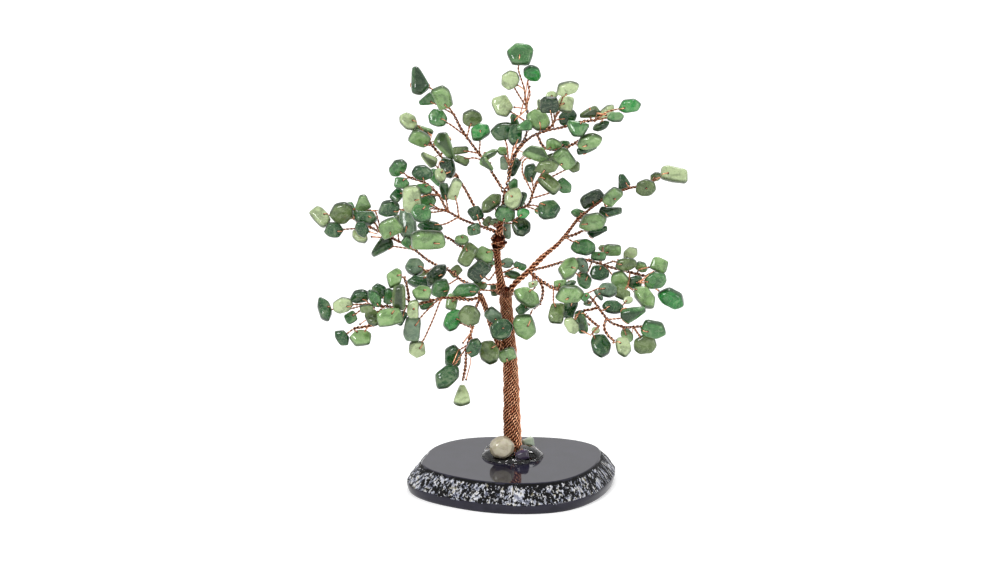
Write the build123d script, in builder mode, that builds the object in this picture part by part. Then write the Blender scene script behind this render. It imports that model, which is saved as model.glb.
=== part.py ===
from build123d import *
import os
from math import cos, radians, sin

# Gemstone tree ornament. Green tumbled stone chips hang on a tree of twisted copper wire,
# which is glued with three small stones into a clear puddle on a polished slab.
# +Z is up, +X is to the right and +Y is away from the viewer. The origin is the centre of
# the slab's flat underside. All lengths are in millimetres and all angles in degrees.

# Driving sizes of the tree
TREE_HEIGHT = 150.0
SIGHT_ANGLE = 16.5
TRUNK_SETBACK = 5.5
TWIG_WIDTH = 0.8
TWIG_SIDES = 4
STONE_THICKNESS_SHARE = 0.45
STONE_EDGE_SHARE = 0.24
HOLE_SHARE = 0.45

# Driving sizes of the slab and of the glue puddle
SLAB_LENGTH = 72.6
SLAB_WIDTH = 64.6
SLAB_HEIGHT = 10.0
BAND_HEIGHT = 3.3
RIND_RUN = 5.2
UNDERCUT = 0.8
PUDDLE_RADIUS = 11.4
PUDDLE_HEIGHT = 4.4
PUDDLE_SHOULDER_SHARES = (0.6, 0.68)

# The ropes: distance from one section to the next, turn between them, and ridges around them
TRUNK_STEP = 3.6
TRUNK_TURN = 18.0
TRUNK_LOBES = 8
LEADER_LOBES = 5
LIMB_STEP = 5.5
LIMB_LOBES = 3
FEWEST_SECTIONS = 3
GROOVE_SHARE = 0.84
TOE_HEIGHT = 4.6
TOE_WIDTH = 1.5
TOE_SIDES = 6

# The tree was sighted on a grid of squares from the front, from SIGHT_ANGLE above the level.
# A place on the grid is a column, a row and a depth: columns count to the right, rows count
# down, and depth counts away from the viewer, from the trunk's foot. The tree is
# HEIGHT_SHARE squares tall, so every place and every stone is a share of its height.
HEIGHT_SHARE = 427
FOOT_COLUMN_SHARE = 512
FOOT_ROW_SHARE = 455
SQUARE = TREE_HEIGHT / HEIGHT_SHARE

# The widest outline of the slab, in half lengths and half widths
SLAB_OUTLINE_SHARES = [
    (-0.99, 0.06), (-0.97, -0.30), (-0.84, -0.52), (-0.60, -0.74), (-0.25, -0.94), (0.16, -1.00),
    (0.50, -0.90), (0.74, -0.64), (0.91, -0.26), (0.99, 0.18), (0.95, 0.58), (0.62, 0.90),
    (0.05, 1.00), (-0.60, 0.88), (-0.90, 0.48),
]

# Outlines of tumbled stones, in half lengths and half widths
STONE_OUTLINE_SHARES = {
    "round": [(-1, -0.2), (-0.55, -0.85), (0.3, -1), (0.95, -0.45), (0.9, 0.4), (0.25, 1), (-0.7, 0.8)],
    "block": [(-1, -0.55), (-0.7, -1), (0.85, -0.9), (1, 0.5), (0.65, 1), (-0.9, 0.85)],
    "wedge": [(-1, -0.3), (0.7, -1), (1, -0.1), (0.65, 1), (-0.95, 0.45)],
    "kite": [(-1, 0.1), (-0.2, -0.95), (0.9, -0.5), (1, 0.2), (0.1, 1)],
    "brick": [(-0.9, -1), (0.75, -0.9), (1, -0.45), (0.8, 0.9), (-0.5, 1), (-1, 0.5)],
    "shield": [(-1, -0.6), (-0.6, -1), (0.4, -0.95), (1, -0.05), (0.4, 1), (-0.9, 0.75)],
    "leaf": [(-1, -0.15), (-0.45, -0.85), (0.5, -1), (1, -0.1), (0.5, 0.85), (-0.4, 1)],
    "dome": [(-1, -0.8), (0.9, -1), (1, -0.3), (0.3, 1), (-0.5, 0.85)],
}

# How the stones lie: each next stone in a spray takes the next roll about its long axis
# and the next pitch of that axis
STONE_ROLLS = (-24, 14, 30, -12, 24, -30, 8)
STONE_PITCHES = (10, -14, 6, -8, 16)

# Trunk and leader: width in squares at both ends, then the places along it
TRUNK_SHARES = (19, 13, [(513, 458, 0), (512, 420, 0), (511, 380, 0), (508, 330, 0), (505, 291, 0)])
LEADER_SHARES = (9, 7.4, [(503, 297, 0), (499, 272, 1), (497, 256, 2), (498, 244, 2)])
HEAD_SHARES = (8, 5.5, [(498, 239, 2), (500, 226, 2), (503, 208, 2), (505, 196, 2), (506, 190, 2)])
KNOT_SHARES = (498, 241, 2)
KNOT_SECTION_SHARES = [(-7.5, 4.5), (-3.5, 8.0), (2.5, 7.6), (7.5, 4.2)]

# Limbs: for each rope the width at both ends in squares and its places from the foot outwards
LIMB_SHARES = {
    "limb_left": [
        (7.0, 6.4, [(506, 352, 0), (492, 328, -8), (486, 308, -11), (480, 294, -12)]),
    ],
    "limb_left_mid": [
        (4.6, 2.4, [(482, 297, -12), (471, 284, 0), (459, 279, 12), (447, 268, 22), (433, 265, 30),
                    (420, 253, 36), (402, 243, 40), (384, 234, 42), (370, 227, 42)]),
    ],
    "limb_left_low": [
        (4.8, 2.4, [(481, 297, -12), (470, 300, -24), (456, 298, -34), (440, 298, -42), (420, 304, -48),
                    (400, 307, -50), (383, 306, -50), (366, 304, -48)]),
        (2.2, 2.0, [(410, 305, -49), (409, 292, -46), (405, 277, -44)]),
        (2.4, 2.0, [(394, 307, -50), (381, 324, -48), (368, 326, -46), (355, 328, -42)]),
    ],
    "limb_left_high": [
        (4.2, 2.6, [(497, 252, 2), (482, 250, -4), (463, 248, -16), (452, 240, -28), (440, 235, -36)]),
    ],
    "limb_west": [
        (5.0, 2.6, [(500, 233, 2), (484, 228, -14), (470, 223, -26), (458, 218, -34), (447, 211, -40),
                    (434, 209, -43)]),
    ],
    "limb_west_upper": [
        (3.2, 2.4, [(447, 211, -40), (440, 196, -36), (430, 185, -34), (416, 181, -34), (409, 178, -34)]),
    ],
    "limb_upper_left": [
        (4.4, 2.4, [(500, 226, 2), (480, 217, 16), (471, 200, 28), (462, 184, 36), (452, 170, 42),
                    (439, 154, 48), (430, 143, 50)]),
    ],
    "limb_top_left": [
        (4.4, 2.6, [(505, 194, 2), (494, 176, 12), (479, 154, 20), (464, 134, 26), (454, 115, 28)]),
    ],
    "limb_top": [
        (5.4, 2.4, [(505, 196, 2), (509, 174, -4), (513, 157, -7), (521, 146, -8), (528, 132, -4),
                    (529, 119, 0), (526, 108, 0)]),
    ],
    "limb_top_right": [
        (4.4, 2.6, [(514, 156, -7), (522, 145, -14), (532, 137, -19), (546, 132, -24), (566, 128, -30),
                    (581, 123, -34), (594, 122, -36)]),
        (2.6, 2.2, [(546, 132, -24), (553, 126, -26), (554, 120, -27)]),
        (2.4, 2.2, [(537, 136, -20), (542, 149, -24), (554, 152, -26), (566, 149, -30), (580, 141, -36)]),
    ],
    "limb_east": [
        (4.6, 2.8, [(502, 212, 2), (515, 210, -14), (529, 205, -26), (532, 195, -31), (537, 182, -34)]),
    ],
    "limb_right": [
        (6.6, 2.6, [(506, 297, 0), (514, 284, -2), (522, 277, -2), (531, 269, 0), (541, 258, 8),
                    (556, 246, 14), (565, 236, 20), (577, 220, 26), (590, 209, 30), (604, 199, 34),
                    (622, 190, 36), (637, 187, 38), (656, 179, 40)]),
        (2.6, 2.2, [(564, 237, 20), (571, 236, 21), (582, 231, 24)]),
    ],
    "limb_right_mid": [
        (4.2, 2.4, [(530, 270, 0), (546, 267, 10), (562, 262, 24), (585, 259, 36), (602, 265, 40),
                    (622, 270, 40), (640, 275, 38), (654, 278, 36)]),
    ],
    "limb_right_low": [
        (5.0, 2.6, [(529, 271, 0), (541, 281, -14), (555, 289, -26), (570, 292, -34), (585, 292, -40),
                    (594, 302, -44), (602, 314, -48), (613, 325, -50), (628, 327, -50), (640, 326, -50)]),
        (2.6, 2.2, [(606, 318, -49), (602, 325, -53), (605, 333, -57), (614, 341, -60)]),
        (2.2, 2.0, [(597, 307, -46), (588, 310, -45), (580, 310, -44)]),
        (2.4, 2.2, [(598, 326, -54), (590, 320, -52), (585, 314, -50)]),
        (2.6, 2.2, [(537, 277, -9), (543, 286, -16), (543, 297, -20), (532, 310, -26)]),
    ],
    "limb_hanging": [
        (4.0, 2.2, [(480, 298, -13), (475, 313, -30), (473, 328, -38), (467, 345, -42), (466, 363, -44),
                    (463, 380, -44)]),
    ],
}

# The piece that each limb grows from
LIMB_CARRIERS = {
    "limb_left": ["trunk"],
    "limb_left_mid": ["limb_left"],
    "limb_left_low": ["limb_left", "limb_left_mid"],
    "limb_left_high": ["leader"],
    "limb_west": ["leader"],
    "limb_west_upper": ["limb_west"],
    "limb_upper_left": ["leader", "limb_west"],
    "limb_top_left": ["leader"],
    "limb_top": ["leader", "limb_top_left"],
    "limb_top_right": ["limb_top"],
    "limb_east": ["leader"],
    "limb_right": ["trunk", "leader"],
    "limb_right_mid": ["limb_right"],
    "limb_right_low": ["limb_right", "limb_right_mid"],
    "limb_hanging": ["limb_left", "limb_left_low", "limb_left_mid"],
}

# Sprays of stones. A row holds the stone's outline, its column, row and depth, its length
# and width in squares, the angle of its long axis in the view, and the places that its
# twig runs through from the limb outwards.
SPRAY_SHARES = {
    "left_tip": (["limb_left_mid"], [
        ("brick", 321, 217, 46, 22, 14, -42, [(382, 232, 42), (376, 211, 48), (354, 209, 54)]),
        ("leaf", 334, 230, 32, 20, 15, -10, [(371, 227, 42)]),
        ("round", 342, 213, 40, 24, 21, 60, [(371, 226, 42), (357, 221, 42)]),
        ("block", 351, 211, 58, 17, 11, -75, [(372, 227, 42), (362, 216, 54)]),
        ("wedge", 363, 203, 48, 16, 17, -70, [(380, 231, 42), (373, 218, 48)]),
        ("shield", 367, 218, 36, 22, 14, 0, [(386, 234, 42)]),
        ("shield", 363, 230, 20, 16, 12, -85, [(380, 232, 42)]),
        ("round", 360, 236, 50, 18, 12, -35, [(378, 231, 42)]),
    ]),
    "left_mid": (["limb_left_mid"], [
        ("wedge", 382, 247, 40, 25, 15, 56, [(416, 250, 37), (392, 246, 40)]),
        ("brick", 391, 228, 20, 23, 18, 10, [(394, 239, 41)]),
        ("block", 398, 221, 50, 13, 10, 80, [(399, 241, 40)]),
        ("brick", 408, 223, 34, 31, 17, 85, [(405, 245, 40)]),
        ("block", 409, 243, 20, 14, 10, -20, [(415, 250, 38)]),
        ("round", 415, 267, 30, 19, 18, 0, [(438, 266, 28), (428, 271, 26)]),
        ("block", 424, 273, 38, 11, 6, 0, [(437, 266, 29)]),
        ("leaf", 420, 282, 18, 26, 13, 2, [(444, 268, 24)]),
        ("leaf", 436, 275, 8, 28, 14, 42, [(448, 268, 22)]),
        ("shield", 441, 288, -8, 21, 17, 80, [(458, 279, 13)]),
        ("block", 456, 271, 28, 13, 9, 50, [(452, 273, 18)]),
    ]),
    "west": (["limb_west", "limb_left_high"], [
        ("round", 422, 214, -72, 20, 18, 0, [(434, 209, -43)]),
        ("round", 428, 202, -38, 17, 13, 10, [(438, 209, -42)]),
        ("leaf", 390, 209, -26, 22, 17, 25, [(447, 211, -40), (434, 213, -30), (407, 211, -26)]),
        ("leaf", 431, 227, -30, 25, 12, -15, [(458, 218, -34), (447, 224, -32)]),
        ("brick", 429, 240, -49, 33, 19, 12, [(442, 235, -35)]),
        ("round", 462, 240, -33, 14, 11, 20, [(463, 248, -16)]),
        ("block", 474, 230, -36, 13, 11, 0, [(476, 225, -21)]),
        ("block", 476, 214, -4, 14, 13, -60, [(482, 227, -16)]),
        ("block", 445, 192, -24, 17, 9, 90, [(449, 212, -39)]),
        ("block", 455, 190, -33, 22, 11, 85, [(459, 218, -33), (458, 207, -32)]),
        ("block", 468, 255, -29, 23, 15, 70, [(464, 248, -16)]),
    ]),
    "west_tip": (["limb_west_upper"], [
        ("round", 424, 190, -46, 17, 11, 5, [(434, 188, -34)]),
        ("brick", 413, 200, -58, 27, 18, 78, [(440, 196, -36), (431, 195, -46)]),
        ("round", 399, 169, -34, 20, 15, 50, [(409, 178, -34)]),
        ("shield", 403, 184, -44, 15, 11, -15, [(410, 178, -34)]),
        ("round", 423, 174, -46, 20, 14, 10, [(425, 183, -34)]),
        ("block", 398, 196, -30, 14, 11, 60, [(440, 196, -36), (425, 199, -28)]),
    ]),
    "upper_left": (["limb_upper_left"], [
        ("round", 409, 122, 50, 20, 15, -30, [(430, 143, 50), (421, 128, 54)]),
        ("block", 424, 131, 64, 18, 8, -30, [(431, 144, 50)]),
        ("brick", 420, 139, 42, 20, 15, -25, [(430, 143, 50)]),
        ("wedge", 446, 147, 42, 29, 18, 115, [(441, 156, 47)]),
        ("wedge", 429, 160, 34, 18, 12, -25, [(454, 173, 41), (439, 169, 38)]),
        ("leaf", 448, 168, 26, 24, 15, -60, [(456, 176, 39)]),
        ("brick", 437, 178, 16, 18, 12, -60, [(457, 177, 39)]),
        ("round", 441, 176, 7, 15, 11, -70, [(458, 178, 38), (456, 186, 16)]),
    ]),
    "top_left": (["limb_top_left"], [
        ("wedge", 419, 82, 30, 28, 19, -65, [(455, 115, 28), (437, 93, 28)]),
        ("wedge", 428, 101, 40, 17, 13, 10, [(455, 115, 28)]),
        ("brick", 443, 99, 20, 24, 17, -65, [(454, 115, 28)]),
        ("round", 438, 119, 26, 19, 17, -30, [(466, 136, 25), (450, 125, 26)]),
        ("round", 472, 119, 34, 20, 17, 30, [(467, 138, 24), (469, 131, 30)]),
        ("leaf", 480, 133, 14, 22, 16, 55, [(479, 153, 20), (480, 146, 19)]),
        ("block", 461, 151, 28, 15, 8, -10, [(479, 154, 20)]),
        ("block", 462, 161, 22, 15, 8, -20, [(484, 162, 18), (473, 158, 22)]),
        ("leaf", 489, 156, 6, 21, 7, 25, [(486, 164, 16)]),
        ("wedge", 487, 165, -2, 16, 9, 150, [(488, 167, 15)]),
    ]),
    "top": (["limb_top"], [
        ("shield", 519, 57, -2, 25, 22, 180, [(526, 108, 0), (524, 90, -1), (518, 72, -2)]),
        ("round", 510, 82, -8, 19, 17, 60, [(526, 109, 0), (517, 94, -5)]),
        ("round", 532, 75, 4, 19, 15, -30, [(526, 108, 0), (530, 96, 3), (527, 84, 4)]),
        ("shield", 503, 108, 10, 22, 18, -75, [(529, 125, -2), (517, 117, 8)]),
        ("shield", 502, 133, -4, 23, 17, 195, [(509, 172, -5), (507, 147, -7)]),
        ("shield", 515, 137, -20, 21, 14, -95, [(511, 164, -6)]),
        ("wedge", 514, 123, 4, 14, 10, -90, [(516, 152, -7)]),
        ("round", 503, 152, 10, 11, 9, 0, [(510, 167, -5)]),
        ("block", 504, 164, 8, 13, 8, 80, [(508, 176, -3)]),
        ("block", 514, 168, 10, 19, 9, 75, [(508, 180, -2)]),
        ("wedge", 524, 128, -30, 16, 12, 30, [(525, 139, -7)]),
    ]),
    "top_right": (["limb_top_right"], [
        ("round", 538, 122, -15, 25, 19, -20, [(540, 134, -22)]),
        ("block", 539, 107, -6, 12, 4, 85, [(544, 133, -23)]),
        ("brick", 549, 107, -41, 18, 17, 5, [(552, 127, -26)]),
        ("round", 551, 97, -18, 12, 8, 0, [(555, 121, -27)]),
        ("leaf", 566, 91, -48, 24, 14, 38, [(554, 120, -27), (560, 105, -38)]),
        ("brick", 565, 106, -30, 17, 15, 85, [(554, 120, -27)]),
        ("round", 567, 119, -18, 19, 15, 20, [(554, 122, -26)]),
        ("dome", 577, 131, -46, 22, 16, 178, [(584, 123, -34)]),
        ("wedge", 589, 115, -26, 20, 12, 10, [(590, 122, -35)]),
        ("leaf", 588, 143, -44, 26, 15, 34, [(580, 141, -36)]),
        ("block", 586, 150, -30, 21, 8, 30, [(574, 145, -33)]),
        ("dome", 552, 145, -33, 17, 12, 5, [(544, 150, -24)]),
        ("block", 564, 146, -18, 10, 8, 0, [(556, 152, -27)]),
        ("leaf", 628, 108, -38, 23, 14, 5, [(594, 122, -36), (605, 114, -37)]),
        ("leaf", 614, 119, -48, 17, 10, 25, [(594, 122, -36)]),
        ("leaf", 605, 114, -26, 20, 10, 57, [(594, 122, -36)]),
        ("leaf", 600, 128, -28, 19, 8, 195, [(592, 122, -36)]),
    ]),
    "east": (["limb_east"], [
        ("dome", 536, 155, -42, 27, 14, -8, [(532, 194, -31), (522, 174, -36), (522, 163, -40)]),
        ("leaf", 546, 168, -58, 25, 13, 0, [(537, 182, -34)]),
        ("brick", 564, 160, -38, 23, 16, -50, [(536, 183, -34), (549, 173, -34)]),
        ("shield", 573, 167, -24, 15, 12, -45, [(535, 185, -33), (557, 175, -26)]),
        ("shield", 530, 173, -24, 20, 12, 85, [(534, 189, -32)]),
        ("brick", 549, 185, -42, 24, 14, -38, [(536, 184, -34)]),
        ("shield", 564, 187, -28, 17, 13, -60, [(531, 199, -29), (552, 193, -29)]),
        ("shield", 549, 210, -38, 22, 19, 10, [(529, 205, -26)]),
        ("block", 541, 212, -24, 12, 9, -40, [(526, 206, -23)]),
        ("block", 553, 159, -29, 13, 10, 30, [(536, 183, -33)]),
    ]),
    "head": (["leader"], [
        ("leaf", 491, 204, -12, 27, 13, 54, [(501, 220, 2)]),
        ("block", 488, 222, 0, 11, 8, 30, [(499, 230, 2)]),
        ("round", 505, 214, -18, 20, 17, 0, [(501, 222, 2)]),
        ("round", 513, 199, -30, 21, 17, 70, [(505, 200, 2)]),
        ("kite", 513, 186, -14, 13, 11, 90, [(505, 196, 2)]),
        ("block", 521, 202, -3, 20, 8, 80, [(504, 204, 2)]),
        ("round", 523, 214, -34, 13, 10, 0, [(502, 214, 2), (512, 222, -20)]),
        ("round", 521, 227, -14, 20, 18, -45, [(501, 223, 2), (508, 223, -6)]),
        ("block", 507, 231, 14, 16, 8, 80, [(500, 226, 2)]),
        ("leaf", 494, 222, -8, 9, 6, 40, [(500, 226, 2)]),
    ]),
    "trunk_top": (["leader", "trunk"], [
        ("shield", 485, 256, -16, 20, 16, -30, [(497, 259, 2)]),
        ("brick", 479, 271, -28, 23, 17, 30, [(498, 268, 1), (489, 281, -16)]),
        ("block", 490, 264, -4, 10, 7, 60, [(498, 264, 2)]),
        ("round", 507, 263, 6, 13, 10, 10, [(498, 266, 2)]),
        ("block", 520, 266, 0, 13, 7, -15, [(500, 274, 1)]),
        ("leaf", 513, 275, 9, 18, 8, 0, [(500, 278, 1)]),
        ("leaf", 466, 290, -24, 29, 14, -4, [(500, 291, 0)]),
        ("block", 480, 285, -10, 13, 8, -20, [(500, 284, 0)]),
        ("block", 494, 290, 13, 12, 7, 85, [(502, 296, 0)]),
        ("block", 493, 315, -21, 16, 13, -30, [(506, 320, 0)]),
        ("round", 501, 329, -30, 23, 20, 45, [(508, 336, 0)]),
        ("block", 507, 354, -17, 17, 13, 10, [(510, 366, 0)]),
        ("round", 489, 352, -28, 25, 20, -60, [(510, 352, 0)]),
    ]),
    "left_foot": (["limb_hanging"], [
        ("round", 453, 320, -38, 24, 16, 75, [(473, 328, -38)]),
        ("round", 470, 315, -50, 22, 20, -30, [(473, 328, -38)]),
        ("shield", 453, 355, -36, 23, 17, 88, [(467, 345, -42)]),
        ("leaf", 447, 376, -54, 30, 19, 40, [(467, 347, -42), (459, 358, -52)]),
        ("leaf", 474, 347, -52, 21, 14, 85, [(471, 334, -40)]),
        ("wedge", 462, 395, -44, 22, 17, -80, [(463, 380, -44)]),
    ]),
    "left_low": (["limb_left_low"], [
        ("kite", 395, 279, -48, 22, 17, 80, [(405, 277, -44)]),
        ("brick", 400, 297, -60, 26, 13, 75, [(409, 300, -48)]),
        ("block", 390, 296, -48, 16, 10, 80, [(397, 307, -50)]),
        ("brick", 391, 317, -73, 25, 17, 0, [(402, 307, -50)]),
        ("block", 402, 318, -44, 15, 8, 80, [(407, 307, -50)]),
        ("shield", 422, 293, -58, 19, 15, 180, [(432, 300, -45)]),
        ("brick", 414, 309, -60, 18, 11, 75, [(418, 305, -48)]),
        ("block", 427, 304, -36, 14, 9, 25, [(436, 299, -43)]),
        ("brick", 413, 328, -48, 25, 16, 75, [(440, 298, -42), (425, 313, -44)]),
        ("shield", 418, 349, -44, 18, 16, -80, [(442, 298, -42), (434, 318, -44), (425, 338, -45)]),
        ("block", 452, 302, -20, 16, 11, 85, [(456, 298, -34)]),
    ]),
    "left_low_tip": (["limb_left_low"], [
        ("leaf", 326, 309, -46, 26, 13, -60, [(368, 304, -48), (350, 309, -38)]),
        ("round", 344, 305, -54, 20, 15, 10, [(366, 304, -48)]),
        ("leaf", 361, 296, -38, 21, 13, 22, [(371, 305, -48)]),
        ("block", 352, 317, -46, 12, 11, 20, [(369, 305, -48)]),
        ("leaf", 376, 298, -62, 21, 11, -45, [(384, 306, -50)]),
        ("round", 374, 317, -58, 18, 14, -50, [(385, 306, -50)]),
        ("leaf", 343, 337, -42, 19, 12, -60, [(355, 328, -42)]),
        ("shield", 361, 338, -46, 21, 16, 185, [(369, 326, -46)]),
        ("round", 381, 291, -37, 18, 13, -40, [(389, 306, -50)]),
        ("block", 368, 308, -70, 13, 8, 20, [(374, 305, -49)]),
    ]),
    "right_tip": (["limb_right"], [
        ("brick", 674, 175, 42, 27, 15, -3, [(656, 179, 40)]),
        ("round", 645, 188, 26, 20, 17, 0, [(648, 183, 39)]),
        ("round", 655, 177, 52, 12, 9, 30, [(652, 181, 40)]),
        ("wedge", 623, 182, 46, 15, 13, -80, [(630, 188, 37)]),
        ("brick", 612, 197, 23, 20, 14, 60, [(616, 193, 35)]),
        ("wedge", 610, 212, 38, 22, 12, 200, [(602, 200, 33)]),
        ("brick", 592, 199, 42, 24, 14, 12, [(594, 206, 31)]),
        ("leaf", 579, 214, 40, 17, 9, -10, [(584, 214, 28)]),
        ("leaf", 592, 222, 15, 29, 17, 9, [(576, 221, 26)]),
        ("wedge", 597, 231, 30, 20, 11, 210, [(582, 231, 24)]),
        ("round", 583, 247, 14, 24, 16, 8, [(564, 237, 20), (571, 241, 19)]),
    ]),
    "right_mid": (["limb_right_mid"], [
        ("leaf", 568, 269, 8, 26, 17, 74, [(586, 259, 36), (579, 276, 14)]),
        ("round", 582, 265, 20, 17, 11, -75, [(588, 260, 37)]),
        ("round", 584, 280, 32, 19, 14, -60, [(592, 262, 38)]),
        ("round", 599, 273, 26, 20, 15, -15, [(603, 265, 40)]),
        ("brick", 612, 250, 34, 18, 12, 5, [(590, 260, 38), (602, 251, 35)]),
        ("round", 603, 248, 48, 10, 7, 0, [(601, 264, 40)]),
        ("leaf", 630, 254, 48, 18, 12, 30, [(616, 268, 41)]),
        ("block", 598, 256, 24, 15, 9, 0, [(600, 264, 40)]),
        ("round", 626, 264, 28, 21, 13, 0, [(602, 265, 40), (614, 261, 33)]),
        ("round", 641, 267, 40, 14, 10, -15, [(636, 274, 38)]),
        ("brick", 659, 265, 36, 17, 14, -15, [(654, 278, 36)]),
        ("round", 620, 281, 24, 21, 18, -70, [(606, 266, 41), (612, 275, 30)]),
        ("block", 622, 294, 4, 15, 11, -20, [(630, 272, 39), (628, 284, 12)]),
        ("block", 635, 282, 30, 14, 12, 0, [(640, 275, 38)]),
        ("leaf", 644, 297, 10, 28, 17, -33, [(646, 277, 37), (645, 288, 12)]),
        ("round", 655, 280, 22, 23, 17, 25, [(652, 278, 36)]),
        ("leaf", 671, 298, 26, 29, 18, -38, [(654, 278, 36), (661, 287, 30)]),
    ]),
    "right_low": (["limb_right_low"], [
        ("leaf", 527, 297, -26, 29, 17, -18, [(534, 275, -5), (536, 286, -14)]),
        ("block", 533, 284, -18, 9, 6, 0, [(533, 274, -4)]),
        ("shield", 525, 327, -30, 27, 21, -75, [(532, 310, -26)]),
        ("block", 523, 308, -12, 14, 10, 30, [(538, 303, -23)]),
        ("leaf", 569, 294, -53, 29, 17, 22, [(556, 289, -27)]),
        ("block", 560, 284, -18, 13, 8, 20, [(557, 290, -28)]),
        ("leaf", 569, 284, -30, 14, 6, 10, [(573, 292, -35)]),
        ("brick", 556, 313, -48, 21, 15, 85, [(553, 288, -25), (553, 302, -38)]),
        ("brick", 569, 308, -30, 20, 14, 60, [(576, 292, -37)]),
        ("block", 587, 303, -32, 9, 6, 0, [(593, 301, -44)]),
        ("block", 585, 297, -58, 9, 6, 60, [(587, 293, -41)]),
        ("block", 598, 295, -34, 12, 4, -65, [(592, 299, -43)]),
        ("round", 607, 290, -20, 19, 15, 0, [(587, 293, -41), (598, 288, -28)]),
    ]),
    "right_low_tip": (["limb_right_low"], [
        ("round", 612, 307, -38, 21, 13, 0, [(600, 311, -47)]),
        ("wedge", 632, 313, -50, 25, 16, 190, [(606, 319, -49), (620, 318, -50)]),
        ("shield", 653, 329, -52, 25, 17, -15, [(640, 326, -50)]),
        ("round", 627, 300, -30, 10, 8, 0, [(604, 316, -48), (618, 309, -34)]),
        ("round", 626, 335, -40, 16, 11, -45, [(622, 327, -50)]),
        ("shield", 623, 347, -62, 21, 14, -72, [(615, 341, -60)]),
        ("round", 644, 344, -40, 23, 19, 5, [(632, 327, -50)]),
        ("round", 600, 345, -46, 24, 19, -60, [(598, 326, -54), (591, 333, -50)]),
        ("round", 571, 325, -56, 18, 13, -60, [(580, 310, -44)]),
        ("block", 581, 322, -42, 24, 11, -65, [(585, 314, -50)]),
        ("round", 595, 330, -38, 8, 6, 0, [(593, 323, -53)]),
    ]),
}

# Stones glued in at the foot: outline, place, length, width and angle as for the chips
FOOT_STONE_SHARES = {
    "foot_stone_cream": ("round", 502, 447, -18, 25, 23, 20),
    "foot_stone_pale": ("block", 528, 443, 10, 12, 11, 15),
    "foot_stone_purple": ("block", 522, 455, -22, 14, 10, 15),
}
FOOT_STONE_THICKNESS_SHARE = 0.75

# Root toes: compass angle about the trunk's foot, and reach in squares
TOE_SHARES = [(8, 24), (-52, 23), (-88, 15), (52, 21), (128, 22), (163, 27), (212, 20)]


def spot(column, row, depth):
    """Turn a place on the sighting grid into a point."""
    away = depth * SQUARE
    up = (FOOT_ROW_SHARE - row) * SQUARE
    height = (up - away * sin(radians(SIGHT_ANGLE))) / cos(radians(SIGHT_ANGLE))
    return Vector((column - FOOT_COLUMN_SHARE) * SQUARE, TRUNK_SETBACK + away, SLAB_HEIGHT + height)


def lobed(width, lobes):
    """Corners of a bundle's section: ridges for the outer strands, with grooves between them."""
    corners = []
    for number in range(2 * lobes):
        angle = radians(number * 180 / lobes)
        radius = width / 2 * (1 if number % 2 == 0 else GROOVE_SHARE)
        corners.append((radius * cos(angle), radius * sin(angle)))
    return corners


def line_through(places):
    """The smooth line that a rope follows."""
    return Spline(*[spot(*place) for place in places])


def rope(foot, tip, route, lobes, step, turn=0):
    """A bundle of wires along a smooth line, as wide at both ends as the squares given."""
    sections = max(FEWEST_SECTIONS, round(route.length / step))
    with BuildPart() as bundle:
        for number in range(sections + 1):
            way = number / sections
            heading = route % way
            side = heading.cross(Vector(0, 1, 0))
            level = Plane(origin=route @ way, x_dir=side, z_dir=heading).rotated((0, 0, number * turn))
            with BuildSketch(level):
                Polygon(*lobed((foot + (tip - foot) * way) * SQUARE, lobes), align=None)
        loft(ruled=True)
    return bundle.part


def bent_wire(points, width, sides):
    """A wire with flats, straight from point to point. Each run goes on past its bend to close it."""
    with BuildPart() as wire:
        for start, end in zip(points, points[1:]):
            run = end - start
            overrun = 0 if end is points[-1] else width / 2
            with BuildSketch(Plane(origin=start, z_dir=run)):
                RegularPolygon(width / 2, sides)
            extrude(amount=run.length + overrun)
    return wire.part


def stone_plane(place, turn, roll=0, pitch=0):
    """The plane of a stone's broad face, which looks at the viewer before it is rolled."""
    sight = radians(SIGHT_ANGLE)
    across = Vector(1, 0, 0)
    upwards = Vector(0, sin(sight), cos(sight))
    long_axis = across * cos(radians(turn)) + upwards * sin(radians(turn))
    towards_viewer = Vector(0, -cos(sight), sin(sight))
    return Plane(origin=place, x_dir=long_axis, z_dir=towards_viewer).rotated((roll, pitch, 0))


def stone(outline, plane, length, width, thickness):
    """A tumbled stone: a thick chip with its outline, and with the edges of both faces taken off."""
    with BuildPart() as tumbled:
        with BuildSketch(plane):
            corners = [(x * length / 2, y * width / 2) for x, y in STONE_OUTLINE_SHARES[outline]]
            Polygon(*corners, align=None)
        extrude(amount=thickness / 2, both=True)
        levels = tumbled.faces().sort_by(Axis(plane.origin, plane.z_dir))
        rims = levels[0].edges() + levels[-1].edges()
        chamfer(rims, length=STONE_EDGE_SHARE * min(width, thickness))
    return tumbled.part


def drilled_place(plane, length, width, came_from):
    """Where the wire goes through a stone: between its middle and the side that faces the twig."""
    towards = (came_from - plane.origin).normalized()
    along = plane.x_dir * (towards.dot(plane.x_dir) * HOLE_SHARE * length / 2)
    across = plane.y_dir * (towards.dot(plane.y_dir) * HOLE_SHARE * width / 2)
    return plane.origin + along + across


def nearest_foot(place, lines):
    """The point nearest to a place on any of the given lines."""
    found = [line.distance_to_with_closest_points(place) for line in lines]
    return min(found, key=lambda answer: answer[0])[1]


def boxed(piece):
    """A piece with its bounding box and those of its faces, so that they are measured once."""
    return piece, piece.bounding_box(), [face.bounding_box() for face in piece.faces()]


def seated(piece, neighbours):
    """Cut a piece back to the faces of what it meets, and keep the part that stands free."""
    box = piece.bounding_box()
    for neighbour, neighbour_box, face_boxes in neighbours:
        if box.overlaps(neighbour_box) and any(box.overlaps(face_box) for face_box in face_boxes):
            piece = max((piece - neighbour).solids(), key=lambda solid: solid.volume)
    return piece


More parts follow.
